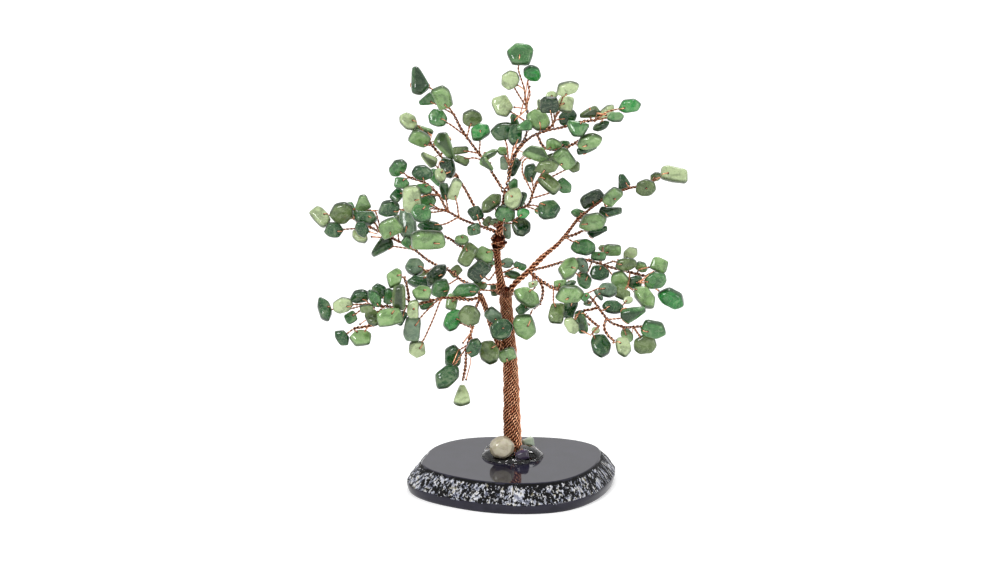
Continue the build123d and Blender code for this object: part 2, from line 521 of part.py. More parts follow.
def keep(name, *pieces):
    """Label a piece, or a group of separate pieces, and write it to its own file."""
    part = Compound(children=list(pieces)) if len(pieces) > 1 else pieces[0]
    part.label = name
    export_step(part, f"parts/{name}.step")


os.makedirs("parts", exist_ok=True)

# Base slab: flat underside, rough band that slants up to the smaller polished face
with BuildPart() as base_slab:
    for height, inset in ((0, UNDERCUT), (BAND_HEIGHT, 0), (SLAB_HEIGHT, RIND_RUN)):
        with BuildSketch(Plane.XY.offset(height)):
            with BuildLine():
                half_length = SLAB_LENGTH / 2 - inset
                half_width = SLAB_WIDTH / 2 - inset
                Spline(*[(x * half_length, y * half_width) for x, y in SLAB_OUTLINE_SHARES], periodic=True)
            make_face()
    loft(ruled=True)
keep("base_slab", base_slab.part)

# Trunk: it starts a little lower than the slab's face, and is cut flat there
trunk_foot, trunk_tip, trunk_places = TRUNK_SHARES
trunk_line = line_through(trunk_places)
with BuildPart() as trunk:
    add(rope(trunk_foot, trunk_tip, trunk_line, TRUNK_LOBES, TRUNK_STEP, TRUNK_TURN))
    split(bisect_by=Plane.XY.offset(SLAB_HEIGHT), keep=Keep.TOP)

# Knot that binds the leader to its head
with BuildPart() as knot_wrap:
    for rise, width in KNOT_SECTION_SHARES:
        with BuildSketch(Plane(origin=spot(*KNOT_SHARES)).offset(rise * SQUARE)):
            Polygon(*lobed(2 * width * SQUARE, LEADER_LOBES), align=None)
    loft(ruled=True)

# Leader and limbs: each rope starts inside what carries it and is cut back to its face
lines = {"trunk": [trunk_line], "leader": []}
ropes = {"trunk": [trunk.part], "leader": []}
placed_ropes = [boxed(trunk.part), boxed(knot_wrap.part)]
for foot, tip, places in (LEADER_SHARES, HEAD_SHARES):
    line = line_through(places)
    shaft = seated(rope(foot, tip, line, LEADER_LOBES, TRUNK_STEP, TRUNK_TURN), placed_ropes)
    lines["leader"].append(line)
    ropes["leader"].append(shaft)
    placed_ropes.append(boxed(shaft))

for name, limb_ropes in LIMB_SHARES.items():
    lines[name] = []
    ropes[name] = []
    for foot, tip, places in limb_ropes:
        line = line_through(places)
        bundle = seated(rope(foot, tip, line, LIMB_LOBES, LIMB_STEP), placed_ropes)
        lines[name].append(line)
        ropes[name].append(bundle)
        placed_ropes.append(boxed(bundle))

keep("knot_wrap", knot_wrap.part)
for name, bundles in ropes.items():
    keep(name, *bundles)

# Stones on the twigs, spray by spray
stones = {}
placed_stones = []
for name, (limbs, rows) in SPRAY_SHARES.items():
    stones[name] = []
    for number, (outline, column, row, depth, length, width, turn, places) in enumerate(rows):
        roll = STONE_ROLLS[number % len(STONE_ROLLS)]
        pitch = STONE_PITCHES[number % len(STONE_PITCHES)]
        plane = stone_plane(spot(column, row, depth), turn, roll, pitch)
        thickness = STONE_THICKNESS_SHARE * length * SQUARE
        chip = stone(outline, plane, length * SQUARE, width * SQUARE, thickness)
        points = [spot(*place) for place in places]
        points[0] = nearest_foot(points[0], [line for limb in limbs for line in lines[limb]])
        points.append(drilled_place(plane, length * SQUARE, width * SQUARE, points[-1]))
        stones[name].append((chip, points))
        placed_stones.append(boxed(chip))
    keep(f"stones_{name}", *[chip for chip, points in stones[name]])

# Twigs: a twisted pair of wires from the nearest limb to each stone, between whatever is near it
placed_twigs = []
for name, chips in stones.items():
    twigs = []
    for chip, points in chips:
        pair = bent_wire(points, TWIG_WIDTH, TWIG_SIDES)
        pair = seated(pair, [boxed(chip)] + placed_ropes + placed_stones + placed_twigs)
        twigs.append(pair)
        placed_twigs.append(boxed(pair))
    keep(f"twigs_{name}", *twigs)

# Stones at the foot
foot_stones = []
placed_at_foot = [boxed(trunk.part), boxed(base_slab.part)]
for name, (outline, column, row, depth, length, width, turn) in FOOT_STONE_SHARES.items():
    plane = stone_plane(spot(column, row, depth), turn)
    thickness = FOOT_STONE_THICKNESS_SHARE * length * SQUARE
    foot_stone = stone(outline, plane, length * SQUARE, width * SQUARE, thickness)
    foot_stones.append(foot_stone)
    placed_at_foot.append(boxed(foot_stone))
    keep(name, foot_stone)

# Root toes: wires bent out from the trunk's foot onto the slab
toes = []
foot_place = Vector(trunk_line.start_point().X, trunk_line.start_point().Y, SLAB_HEIGHT)
for angle, reach in TOE_SHARES:
    outwards = Vector(cos(radians(angle)), sin(radians(angle)), 0)
    top = foot_place + Vector(0, 0, TOE_HEIGHT)
    knee = foot_place + outwards * (reach * SQUARE / 2) + Vector(0, 0, TOE_HEIGHT / 2)
    tip = foot_place + outwards * (reach * SQUARE)
    toe = seated(bent_wire([top, knee, tip], TOE_WIDTH, TOE_SIDES), placed_at_foot)
    toes.append(toe)
    placed_at_foot.append(boxed(toe))
keep("root_toes", *toes)

# Clear glue puddle: a low dome with the trunk, the toes and the foot stones set in it
with BuildPart() as glue_puddle:
    shoulder_run, shoulder_rise = PUDDLE_SHOULDER_SHARES
    with BuildSketch(Plane.XZ.offset(-foot_place.Y)):
        with BuildLine():
            Line((foot_place.X, SLAB_HEIGHT), (foot_place.X + PUDDLE_RADIUS, SLAB_HEIGHT))
            ThreePointArc(
                (foot_place.X + PUDDLE_RADIUS, SLAB_HEIGHT),
                (foot_place.X + PUDDLE_RADIUS * shoulder_run, SLAB_HEIGHT + PUDDLE_HEIGHT * shoulder_rise),
                (foot_place.X, SLAB_HEIGHT + PUDDLE_HEIGHT),
            )
            Line((foot_place.X, SLAB_HEIGHT + PUDDLE_HEIGHT), (foot_place.X, SLAB_HEIGHT))
        make_face()
    revolve(axis=Axis(foot_place, (0, 0, 1)))
    for piece in [trunk.part] + toes + foot_stones:
        add(piece, mode=Mode.SUBTRACT)
keep("glue_puddle", glue_puddle.part)
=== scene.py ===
# %% [markdown]
# # A gemstone tree
# This lesson dresses a CAD model of a small ornament: a tree of twisted copper wire that carries
# green tumbled stones, glued to a polished slab of dark stone. The CAD model gives every piece its
# place and its size. Here each piece gets the form and finish that the eye expects: wires that
# really twist, stones with soft facets and clouds of colour, and a slab with a rough rind.

# %% Load the frame
import bpy
import bmesh
from collections import namedtuple
from math import atan2, cos, pi, radians, sin, sqrt, tau
from mathutils import Matrix, Vector, noise
from mathutils.bvhtree import BVHTree


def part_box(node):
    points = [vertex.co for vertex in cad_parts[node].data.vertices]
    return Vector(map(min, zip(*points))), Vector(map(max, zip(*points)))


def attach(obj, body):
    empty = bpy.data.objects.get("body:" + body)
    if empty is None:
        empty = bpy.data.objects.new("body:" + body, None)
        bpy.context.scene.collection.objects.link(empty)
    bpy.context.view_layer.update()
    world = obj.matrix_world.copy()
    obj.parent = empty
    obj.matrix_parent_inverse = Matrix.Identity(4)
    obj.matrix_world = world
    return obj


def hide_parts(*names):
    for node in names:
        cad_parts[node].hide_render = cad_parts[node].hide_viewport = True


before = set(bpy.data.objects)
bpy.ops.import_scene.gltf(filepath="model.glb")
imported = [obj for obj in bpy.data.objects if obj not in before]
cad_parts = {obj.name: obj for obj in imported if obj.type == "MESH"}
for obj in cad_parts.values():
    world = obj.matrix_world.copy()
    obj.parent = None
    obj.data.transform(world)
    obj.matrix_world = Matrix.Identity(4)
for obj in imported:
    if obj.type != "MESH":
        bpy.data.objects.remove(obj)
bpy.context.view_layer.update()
MM = 0.001

# %% [markdown]
# The camera comes first, because every later choice is judged through it. The photograph looks
# down at the tree by 16.5 degrees, from so far away that its lines hardly converge. A long lens
# four metres away gives that view. The target is the point in the middle of the picture.

# %% Camera
VIEW_DOWN = radians(16.5)
VIEW_DISTANCE = 4.0
VIEW_WIDTH = 351.3 * MM
VIEW_TARGET = Vector((-4.216, 22.86, 68.61)) * MM

camera_data = bpy.data.cameras.new("camera")
camera_data.lens = camera_data.sensor_width * VIEW_DISTANCE / VIEW_WIDTH
camera = bpy.data.objects.new("camera", camera_data)
camera.location = VIEW_TARGET + Vector((0, -cos(VIEW_DOWN), sin(VIEW_DOWN))) * VIEW_DISTANCE
camera.rotation_euler = (pi / 2 - VIEW_DOWN, 0, 0)
bpy.context.scene.collection.objects.link(camera)
bpy.context.scene.camera = camera
bpy.context.scene.view_settings.view_transform = "Standard"
print("lens:", round(camera_data.lens, 1), "mm")

# %% [markdown]
# Colours are easier to think of as a painter mixes them, in shares of 255, than as the linear
# numbers that a shader wants. This helper turns one into the other. The curve between them is
# straight for the darkest colours and a power above that.

# %% Colour helper
FULL_PAINT = 255
STRAIGHT_END = 0.04045
STRAIGHT_SLOPE = 12.92
CURVE_SHIFT = 0.055
CURVE_POWER = 2.4


def paint(red, green, blue):
    """A colour in shares of 255, as the linear colour that shaders use."""
    linear = []
    for amount in (red, green, blue):
        share = amount / FULL_PAINT
        if share <= STRAIGHT_END:
            linear.append(share / STRAIGHT_SLOPE)
        else:
            linear.append(((share + CURVE_SHIFT) / (1 + CURVE_SHIFT)) ** CURVE_POWER)
    return linear


print("a painter's 128 is", round(paint(128, 128, 128)[0], 3), "to a shader")

# %% [markdown]
# Every material below is a small net of nodes. Nodes could be placed one by one, at four lines
# each. A short way to make a node keeps the materials readable: its kind, its settings and what
# feeds its sockets stand in one call.

# %% Node helper
def new_material(name):
    """An empty node material, with its Principled shader."""
    material = bpy.data.materials.new(name)
    material.use_nodes = True
    return material, material.node_tree, material.node_tree.nodes["Principled BSDF"]


def node(tree, kind, inputs=None, **settings):
    """A new node: settings are its properties, and inputs gives sockets a value or a link."""
    made = tree.nodes.new(kind)
    for key, value in settings.items():
        setattr(made, key, value)
    for key, value in (inputs or {}).items():
        if isinstance(value, bpy.types.NodeSocket):
            tree.links.new(value, made.inputs[key])
        else:
            made.inputs[key].default_value = value
    return made


# %% [markdown]
# Four nets come back in most materials. A noise gives clouds of a chosen size. A ramp turns its
# values into colours, or into shares. A mix blends two colours by a share, and a spread lets a
# plain value, such as a roughness, drift with a noise. A Mix node has sockets for numbers, for
# vectors and for colours, and the colour ones are found by their numbers.

# %% Noise, ramp, mix and spread
NOISE_LOW = 0.35
NOISE_HIGH = 0.65
FIRST_COLOUR = 6
SECOND_COLOUR = 7
MIXED_COLOUR = 2


def clouds_at(tree, place, scale, detail, roughness=0.5, distortion=0.0):
    """A cloudy noise at a place. The scale says how many clouds fit in one unit of the place."""
    inputs = {"Vector": place, "Scale": scale, "Detail": detail, "Roughness": roughness,
              "Distortion": distortion}
    return node(tree, "ShaderNodeTexNoise", inputs).outputs["Fac"]


def ramp(tree, source, stops):
    """A colour ramp through the stops given as (place, colour)."""
    made = node(tree, "ShaderNodeValToRGB", {"Fac": source})
    elements = made.color_ramp.elements
    while len(elements) < len(stops):
        elements.new(0.5)
    for element, (place, colour) in zip(elements, stops):
        element.position = place
        element.color = (*colour, 1)
    return made.outputs["Color"]


def share_ramp(tree, source, stops):
    """A share that changes with its source, through the stops given as (place, share)."""
    return ramp(tree, source, [(place, (share, share, share)) for place, share in stops])


def mix(tree, share, first, second, way="MIX"):
    """Blend two colours. The share, and each colour, is a value or a socket."""
    inputs = {"Factor": share, FIRST_COLOUR: first, SECOND_COLOUR: second}
    made = node(tree, "ShaderNodeMix", inputs, data_type="RGBA", blend_type=way)
    return made.outputs[MIXED_COLOUR]


def spread(tree, source, low, high):
    """A value that drifts from low to high over the usual range of a noise."""
    inputs = {"Value": source, "From Min": NOISE_LOW, "From Max": NOISE_HIGH, "To Min": low,
              "To Max": high}
    return node(tree, "ShaderNodeMapRange", inputs).outputs[0]


def skin(tree, shader, height, strength, distance):
    """Ripples in a surface, by a bump that follows a height."""
    inputs = {"Height": height, "Strength": strength, "Distance": distance}
    bump = node(tree, "ShaderNodeBump", inputs)
    tree.links.new(bump.outputs["Normal"], shader.inputs["Normal"])


# %% [markdown]
# The tree stands on a plain pale floor under soft studio light. The floor adds some light of its
# own where it is seen or mirrored, so that it reads as white and still keeps a soft shadow.
# Brighter lamps could whiten it too, but they would bleach the stones.

# %% Floor
FLOOR_SIZE = 6.0
FLOOR_WHITE = 0.86
FLOOR_LIFT = 0.42


def seen_or_mirrored(tree):
    """1 on the rays that the eye sees, straight, mirrored or through glass, and 0 on all others."""
    path = node(tree, "ShaderNodeLightPath").outputs
    seen = node(tree, "ShaderNodeMath", {0: path["Is Camera Ray"], 1: path["Is Glossy Ray"]},
                operation="MAXIMUM").outputs[0]
    return node(tree, "ShaderNodeMath", {0: seen, 1: path["Is Transmission Ray"]},
                operation="MAXIMUM").outputs[0]


floor_mesh = bpy.data.meshes.new("floor")
floor_shape = bmesh.new()
bmesh.ops.create_grid(floor_shape, x_segments=1, y_segments=1, size=FLOOR_SIZE / 2)
floor_shape.to_mesh(floor_mesh)
floor_shape.free()
floor = bpy.data.objects.new("floor", floor_mesh)
bpy.context.scene.collection.objects.link(floor)

floor_paint, tree, shader = new_material("floor_paint")
shader.inputs["Base Color"].default_value = (FLOOR_WHITE, FLOOR_WHITE, FLOOR_WHITE, 1)
shader.inputs["Roughness"].default_value = 1.0
shader.inputs["Specular IOR Level"].default_value = 0.0
lift = node(tree, "ShaderNodeMath", {0: seen_or_mirrored(tree), 1: FLOOR_LIFT},
            operation="MULTIPLY")
glow = node(tree, "ShaderNodeEmission", {"Strength": lift.outputs[0]})
lit = node(tree, "ShaderNodeAddShader", {0: shader.outputs[0], 1: glow.outputs[0]})
tree.links.new(lit.outputs[0], tree.nodes["Material Output"].inputs["Surface"])
floor_mesh.materials.append(floor_paint)
print("floor:", FLOOR_SIZE, "m wide")

# %% [markdown]
# The world is white where it is seen or mirrored, and dimmer as a lamp, so that the three soft
# lamps still model the forms: a strong one from the upper left, a weaker one from the right, and
# one from above and behind that edges the stones. A single picture of a studio could light the
# scene as well, but three lamps are easier to move one at a time. Each row below gives a lamp's
# place, its width in metres and its power in watts.

# %% World and lamps
WORLD_LIGHT = 0.55
LAMPS = {
    "key_lamp": ((-1.1, -1.5, 1.7), 0.9, 26.0),
    "fill_lamp": ((1.6, -1.0, 0.9), 1.0, 9.0),
    "top_lamp": ((0.2, 1.0, 1.9), 0.8, 12.0),
}

world = bpy.data.worlds.new("studio")
bpy.context.scene.world = world
world.use_nodes = True
tree = world.node_tree
level = node(tree, "ShaderNodeMapRange",
             {"Value": seen_or_mirrored(tree), "To Min": WORLD_LIGHT, "To Max": 1.0})
tree.links.new(level.outputs[0], tree.nodes["Background"].inputs["Strength"])
tree.nodes["Background"].inputs["Color"].default_value = (1, 1, 1, 1)

for name, (place, size, power) in LAMPS.items():
    lamp_data = bpy.data.lights.new(name, "AREA")
    lamp_data.shape = "DISK"
    lamp_data.size = size
    lamp_data.energy = power
    lamp = bpy.data.objects.new(name, lamp_data)
    lamp.location = place
    lamp.rotation_euler = (VIEW_TARGET - lamp.location).to_track_quat("-Z", "Y").to_euler()
    bpy.context.scene.collection.objects.link(lamp)
    print(name, power, "watts")

# %% [markdown]
# Most pieces start from the solids of a CAD node. A node can hold many separate solids, such as
# the stones of one spray. They are told apart by following each one from face to face. Two solids
# may touch along an edge, which then has more than two faces, so the way never leads across such
# an edge. This has a price: a twig that has such an edge of its own is parted there too.

# %% Groups of faces
def touching_faces(whole):
    """The faces of a bmesh in groups that hang together, each as a set of face numbers."""
    whole.faces.index_update()
    groups = []
    met = set()
    for first in whole.faces:
        if first.index in met:
            continue
        group = [first]
        met.add(first.index)
        for face in group:
            for edge in face.edges:
                if len(edge.link_faces) != 2:
                    continue
                for other in edge.link_faces:
                    if other.index not in met:
                        met.add(other.index)
                        group.append(other)
        groups.append({face.index for face in group})
    return groups


# %% [markdown]
# With that, a node's loose triangles are merged and parted, and each solid becomes a bmesh of its
# own. Triangles that lie in one plane are dissolved into one face, so that a bevel or a walk
# meets only real edges.

# %% Solids of a node
WELD = 0.002 * MM
FLAT = radians(2)


def solids_of(name):
    """The separate solids of a CAD node, in the node's own order, each as a merged bmesh."""
    whole = bmesh.new()
    whole.from_mesh(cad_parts[name].data)
    bmesh.ops.remove_doubles(whole, verts=whole.verts, dist=WELD)
    solids = []
    for group in touching_faces(whole):
        solid = whole.copy()
        others = [face for face in solid.faces if face.index not in group]
        bmesh.ops.delete(solid, geom=others, context="FACES")
        bmesh.ops.dissolve_limit(solid, angle_limit=FLAT, verts=solid.verts, edges=solid.edges)
        solids.append(solid)
    whole.free()
    return solids


def middle_of(solid):
    """The middle of a solid's box."""
    lows = [min(vert.co[axis] for vert in solid.verts) for axis in range(3)]
    highs = [max(vert.co[axis] for vert in solid.verts) for axis in range(3)]
    return (Vector(lows) + Vector(highs)) / 2


print("root toes:", len(solids_of("root_toes")))

# %% [markdown]
# Every finished piece goes through the same two steps: its shape becomes a plain mesh, and the
# piece then takes the place of the CAD node that it stands for. Modifiers could stay live on the
# piece. They are applied instead, because later steps read the rounded surface.

# %% Finish a piece
def as_mesh(rough):
    """The mesh that an object shows with its modifiers applied. The rough object is removed."""
    bpy.context.scene.collection.objects.link(rough)
    bpy.context.view_layer.update()
    shown = rough.evaluated_get(bpy.context.evaluated_depsgraph_get())
    mesh = bpy.data.meshes.new_from_object(shown)
    bpy.data.objects.remove(rough)
    return mesh


def shade_smooth(mesh):
    """Shade all faces of a mesh smooth."""
    mesh.polygons.foreach_set("use_smooth", [True] * len(mesh.polygons))


def finished_mesh(name, shape, levels=0):
    """A mesh from a bmesh, with its subdivision applied and its faces shaded smooth."""
    mesh = bpy.data.meshes.new(name)
    shape.to_mesh(mesh)
    shape.free()
    if levels:
        rough = bpy.data.objects.new(name + "_rough", mesh)
        smooth = rough.modifiers.new("smooth", "SUBSURF")
        smooth.levels = levels
        smooth.render_levels = levels
        mesh = as_mesh(rough)
    shade_smooth(mesh)
    return mesh


def settle(piece, slot, *nodes):
    """Put a finished piece in the scene, in place of the CAD nodes that it stands for."""
    bpy.context.scene.collection.objects.link(piece)
    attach(piece, "root")
    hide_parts(*nodes)
    print(piece.name, "faces:", len(piece.data.polygons))


# %% [markdown]
# The stones are chips of green quartz, tumbled in a drum until their edges are round and their
# faces shine. Every one has its own green. These grades were noted from the photograph, stone by
# stone in the order of the CAD solids: X near black, D dark, M middle, L light, P pale, O moss,
# G grey-green and B bright green.

# %% Grades of the stones
GRADE_PAINTS = {
    "X": paint(8, 52, 20),
    "D": paint(24, 84, 36),
    "M": paint(72, 132, 70),
    "L": paint(134, 172, 106),
    "P": paint(188, 206, 154),
    "O": paint(106, 128, 74),
    "G": paint(112, 140, 112),
    "B": paint(40, 146, 62),
}
SPRAY_GRADES = {
    "left_tip": "PDOMLDDP",
    "left_mid": "DLOGMGPDXMO",
    "west": "MMDDLLDDDPO",
    "west_tip": "MPMMDD",
    "upper_left": "PLLLPXMP",
    "top_left": "DMLMOBOOLL",
    "top": "MPBPDDMLGDM",
    "top_right": "LPXPPPDMOLDLDBMPD",
    "east": "LOLODOMDLO",
    "head": "OOMPMDBXGO",
    "trunk_top": "LXMGMMMODGDLO",
    "left_foot": "BODDDP",
    "left_low": "LOMLDLPMGPL",
    "left_low_tip": "DPDMMODLDO",
    "right_tip": "POODLDXMLDM",
    "right_mid": "LGMDLPPMOLLLODLMB",
    "right_low": "LPLDLLDODGMGG",
    "right_low_tip": "DMMPLPODPMP",
}
print("stones:", sum(len(grades) for grades in SPRAY_GRADES.values()))

# %% [markdown]
# Polished green quartz is cloudy: milky drifts, deep green bands and flakes of green mica lie in
# it at different depths. Noises of different sizes give these. The outline of each chip is painted
# darker, as painted shade for the long way that light takes through the stone there. A shader
# could find the outline from the eye, but then the shade would slide as the stone turns, so the
# mesh holds it as a value of its own. Each pair of numbers below is a value of the noise and the
# share it gives.

# %% Stone material
CLOUD_SIZE = 3.6 * MM
VEIN_SIZE = 3.0 * MM
FLAKE_SIZE = 0.5 * MM
RIPPLE_SIZE = 1.4 * MM
RIPPLE_HEIGHT = 0.3 * MM
RIPPLE_STRENGTH = 0.25
DARK_SHARES = ((0.38, 0.72), (0.52, 0.0))
MILK_SHARES = ((0.52, 0.0), (0.66, 0.5))
VEIN_SHARES = ((0.47, 0.0), (0.505, 0.45), (0.54, 0.0))
FLAKE_SHARES = ((0.60, 0.0), (0.72, 0.35))
RIM_SHADE_SHARES = ((0.3, 0.0), (0.8, 0.75))
DEEP_SHARE = 0.6
MILK_SHARE = 0.35
GLOW_DEPTH = 1.2 * MM
GLOW_COLOUR = (0.8, 1.0, 0.6)


def stone_material(name, deep, milk):
    """Polished cloudy stone, with painted shade at its outline. The mesh holds its tint, and how
    near a point is to the outline.
    """
    material, tree, shader = new_material(name)
    place = node(tree, "ShaderNodeTexCoord").outputs["Object"]
    tint = node(tree, "ShaderNodeAttribute", attribute_name="tint").outputs["Color"]
    rim = node(tree, "ShaderNodeAttribute", attribute_name="rim").outputs["Fac"]
    clouds = clouds_at(tree, place, 1 / CLOUD_SIZE, detail=3.0, distortion=0.8)
    veins = clouds_at(tree, place, 1 / VEIN_SIZE, detail=5.0, distortion=1.6)
    flakes = clouds_at(tree, place, 1 / FLAKE_SIZE, detail=2.0)
    ripples = clouds_at(tree, place, 1 / RIPPLE_SIZE, detail=1.0)
    dark = mix(tree, DEEP_SHARE, tint, (*deep, 1))
    light = mix(tree, MILK_SHARE, tint, (*milk, 1))
    shade = mix(tree, share_ramp(tree, clouds, DARK_SHARES), tint, dark)
    shade = mix(tree, share_ramp(tree, clouds, MILK_SHARES), shade, light)
    shade = mix(tree, share_ramp(tree, veins, VEIN_SHARES), shade, light)
    shade = mix(tree, share_ramp(tree, flakes, FLAKE_SHARES), shade, (*deep, 1))
    # Painted shade: the colour turns deep towards each chip's outline.
    shade = mix(tree, share_ramp(tree, rim, RIM_SHADE_SHARES), shade, (*deep, 1))
    tree.links.new(shade, shader.inputs["Base Color"])
    skin(tree, shader, ripples, RIPPLE_STRENGTH, RIPPLE_HEIGHT)
    shader.inputs["Roughness"].default_value = 0.08
    shader.inputs["IOR"].default_value = 1.55
    shader.inputs["Specular IOR Level"].default_value = 0.5
    shader.inputs["Subsurface Weight"].default_value = 0.3
    shader.inputs["Subsurface Radius"].default_value = GLOW_COLOUR
    shader.inputs["Subsurface Scale"].default_value = GLOW_DEPTH
    return material


green_stone = stone_material("green_stone", paint(8, 40, 14), paint(214, 228, 184))
print("green stone, nodes:", len(green_stone.node_tree.nodes))

# %% [markdown]
# The chips are drilled before they are threaded. The inside of a hole is painted dark, as the
# shade that fills it, and needs no more than a noise between near black and brown.

# %% Drilled hole
HOLE_SHADE_PAINTS = ((0.4, paint(14, 12, 8)), (0.65, paint(52, 38, 22)))


def hole_material(name):
    """The painted shade inside a drilled hole, a noise between near black and brown."""
    material, tree, shader = new_material(name)
    place = node(tree, "ShaderNodeTexCoord").outputs["Object"]
    hole_shade_noise = clouds_at(tree, place, 1 / FLAKE_SIZE, detail=3.0)
    # Painted shade: the hole's inside is dark, mottled by a noise.
    tree.links.new(ramp(tree, hole_shade_noise, HOLE_SHADE_PAINTS), shader.inputs["Base Color"])
    shader.inputs["Roughness"].default_value = 0.8
    return material


painted_hole_shade = hole_material("painted_hole_shade")
print("drilled hole, nodes:", len(painted_hole_shade.node_tree.nodes))

# %% [markdown]
# A chip is modelled as the drum makes it. The CAD solid is a block of flat facets. A bevel takes
# off its edges, and a subdivision surface rounds what is left. A sphere with noise could pass for
# a pebble, but the facets must stay readable, because they are what makes a chip glitter. The
# rounding shrinks a stone, so it is made fuller first.

# %% Tumble a stone
ROUNDING_SHARE = 0.04
STONE_LEVELS = 1
FULLNESS = 1.1


def length_of(solid, middle):
    """The length of a solid, as twice its farthest reach from its middle."""
    return 2 * max((vert.co - middle).length for vert in solid.verts)


def tumbled(solid, rounding_share):
    """Take the edges off a faceted solid, and make up for what the rounding will take."""
    middle = middle_of(solid)
    bmesh.ops.bevel(solid, geom=list(solid.edges), offset=rounding_share * length_of(solid, middle),
                    affect="EDGES", segments=1, profile=0.5, material=-1, clamp_overlap=True)
    around_middle = Matrix.Translation(-middle)
    bmesh.ops.scale(solid, vec=(FULLNESS,) * 3, space=around_middle, verts=solid.verts)
    return solid


def thin_axis_of(solid):
    """The direction that a flat stone's broad face looks in."""
    return max(solid.faces, key=lambda face: face.calc_area()).normal.copy()


sample = solids_of("foot_stone_cream")[0]
print("cream stone, faces of the block:", len(sample.faces))
print("cream stone, faces once its edges are off:", len(tumbled(sample, ROUNDING_SHARE).faces))
sample.free()

# %% [markdown]
# The stones of a spray become one mesh, which renders faster than one object for each. Each face
# keeps the number of its own stone. A slow noise then gives every stone a swell of its own, and
# each point notes its stone's tint and how near it is to the outline.

# %% Stones of a spray
SWELL = 0.3 * MM
SWELL_SIZE = 3.2 * MM


def joined(name, shapes):
    """One bmesh of several, where each face keeps the number of its own shape."""
    whole = bmesh.new()
    number_layer = whole.faces.layers.int.new("number")
    for number, shape in enumerate(shapes):
        part = bpy.data.meshes.new(name)
        shape.to_mesh(part)
        shape.free()
        first = len(whole.faces)
        whole.from_mesh(part)
        bpy.data.meshes.remove(part)
        whole.faces.ensure_lookup_table()
        for face in whole.faces[first:]:
            face[number_layer] = number
    return whole


def numbers_of(mesh):
    """The number of the stone that each vertex of a mesh belongs to."""
    numbers = [0] * len(mesh.vertices)
    for polygon, entry in zip(mesh.polygons, mesh.attributes["number"].data):
        for index in polygon.vertices:
            numbers[index] = entry.value
    return numbers


def stone_mesh(name, solids, tints, material, rounding_share=ROUNDING_SHARE, levels=STONE_LEVELS):
    """The stones of a node as one mesh, tumbled, tinted and with their outlines noted."""
    axes = [thin_axis_of(solid) for solid in solids]
    shapes = [tumbled(solid, rounding_share) for solid in solids]
    mesh = finished_mesh(name, joined(name, shapes), levels)
    normals = [vert.normal.copy() for vert in mesh.vertices]
    rims = []
    colours = []
    for vert, normal, number in zip(mesh.vertices, normals, numbers_of(mesh)):
        vert.co += normal * SWELL * noise.noise(vert.co / SWELL_SIZE + Vector((number, 0, 0)))
        rims.append(1 - abs(normal.dot(axes[number])))
        colours.extend((*tints[number], 1))
    mesh.attributes.new("rim", "FLOAT", "POINT").data.foreach_set("value", rims)
    mesh.attributes.new("tint", "FLOAT_COLOR", "POINT").data.foreach_set("color", colours)
    mesh.materials.append(material)
    return mesh


# %% [markdown]
# The tree itself is all wire. Its CAD solids show where each rope and twig runs, and the wires
# have to follow them. The routes could be typed in again, but walking along the solids keeps one
# source for them. A walk needs three things: the vertices of the end where it starts, the way
# that leads out from there, and the slice through the solid at a place.

# %% Ends and slices
def end_verts(solid, place, reach):
    """The vertices of a solid that make up its end near a place."""
    far = max(solid.verts, key=lambda vert: (vert.co - place).length).co
    near = [vert for vert in solid.verts if (vert.co - place).length < reach]
    return [vert for vert in near if (vert.co - place).length < (vert.co - far).length]


def first_edge(start_verts, place):
    """The two ends of the longest edge that leads away from an end, the nearer one first."""
    outward = [
        edge
        for vert in start_verts
        for edge in vert.link_edges
        if edge.other_vert(vert) not in start_verts
    ]
    longest = max(outward, key=lambda edge: edge.calc_length())
    return sorted((vert.co.copy() for vert in longest.verts), key=lambda end: (end - place).length)


def slice_of(edges, place, heading, reach):
    """Where the edges near a place cross the plane through it."""
    crossings = []
    for start, end in edges:
        before = (start - place).dot(heading)
        after = (end - place).dot(heading)
        if before * after < 0:
            crossing = start + (end - start) * (before / (before - after))
            if (crossing - place).length < reach:
                crossings.append(crossing)
    return crossings


# %% [markdown]
# A walk cuts slice after slice and takes the middle of each as a stop. It ends where a slice
# meets nothing, or where it comes back to a place that it has been to. A stop knows its place,
# how wide a wire is there, and the middle and half width of the whole rope, which tell later
# what lies deep in the rope.

# %% Walk along a solid
Stop = namedtuple("Stop", "place centre reach width")
WIRE = 0.36 * MM
LEAST_CROSSINGS = 3
NEW_WAY_WEIGHT = 2
SMOOTHING_PASSES = 3
MOST_STOPS = 150


def walk(solid, start_verts, step, reach):
    """The line along a solid, from the end given by its vertices to its other end."""
    edges = [(edge.verts[0].co.copy(), edge.verts[1].co.copy()) for edge in solid.edges]
    place = sum((vert.co for vert in start_verts), Vector()) / len(start_verts)
    near, far = first_edge(start_verts, place)
    heading = (far - near).normalized()
    middles = [place]
    reaches = []
    for number in range(MOST_STOPS):
        crossings = slice_of(edges, place + heading * step, heading, reach)
        middle = sum(crossings, Vector()) / max(len(crossings), 1)
        been_there = any((middle - earlier).length < step / 2 for earlier in middles)
        if len(crossings) < LEAST_CROSSINGS or been_there:
            break
        heading = (heading + NEW_WAY_WEIGHT * (middle - place).normalized()).normalized()
        place = middle
        middles.append(middle)
        reaches.append(max((crossing - middle).length for crossing in crossings))
    if len(middles) == 1:
        middles.append(far)
        reaches.append(WIRE)
    reaches.insert(0, reaches[0])
    for turn in range(SMOOTHING_PASSES):
        triples = zip(middles, middles[1:], middles[2:])
        middles[1:-1] = [(before + 2 * middle + after) / 4 for before, middle, after in triples]
    return [Stop(middle, middle, half_width, WIRE) for middle, half_width in zip(middles, reaches)]


# %% [markdown]
# The trunk shows how a walk goes. It stands upright, so its walk starts from the vertices of its
# lowest face and climbs. Its line runs on a little past the solid, narrower at each stop, so that
# the trunk ends in a taper and not in a cut.

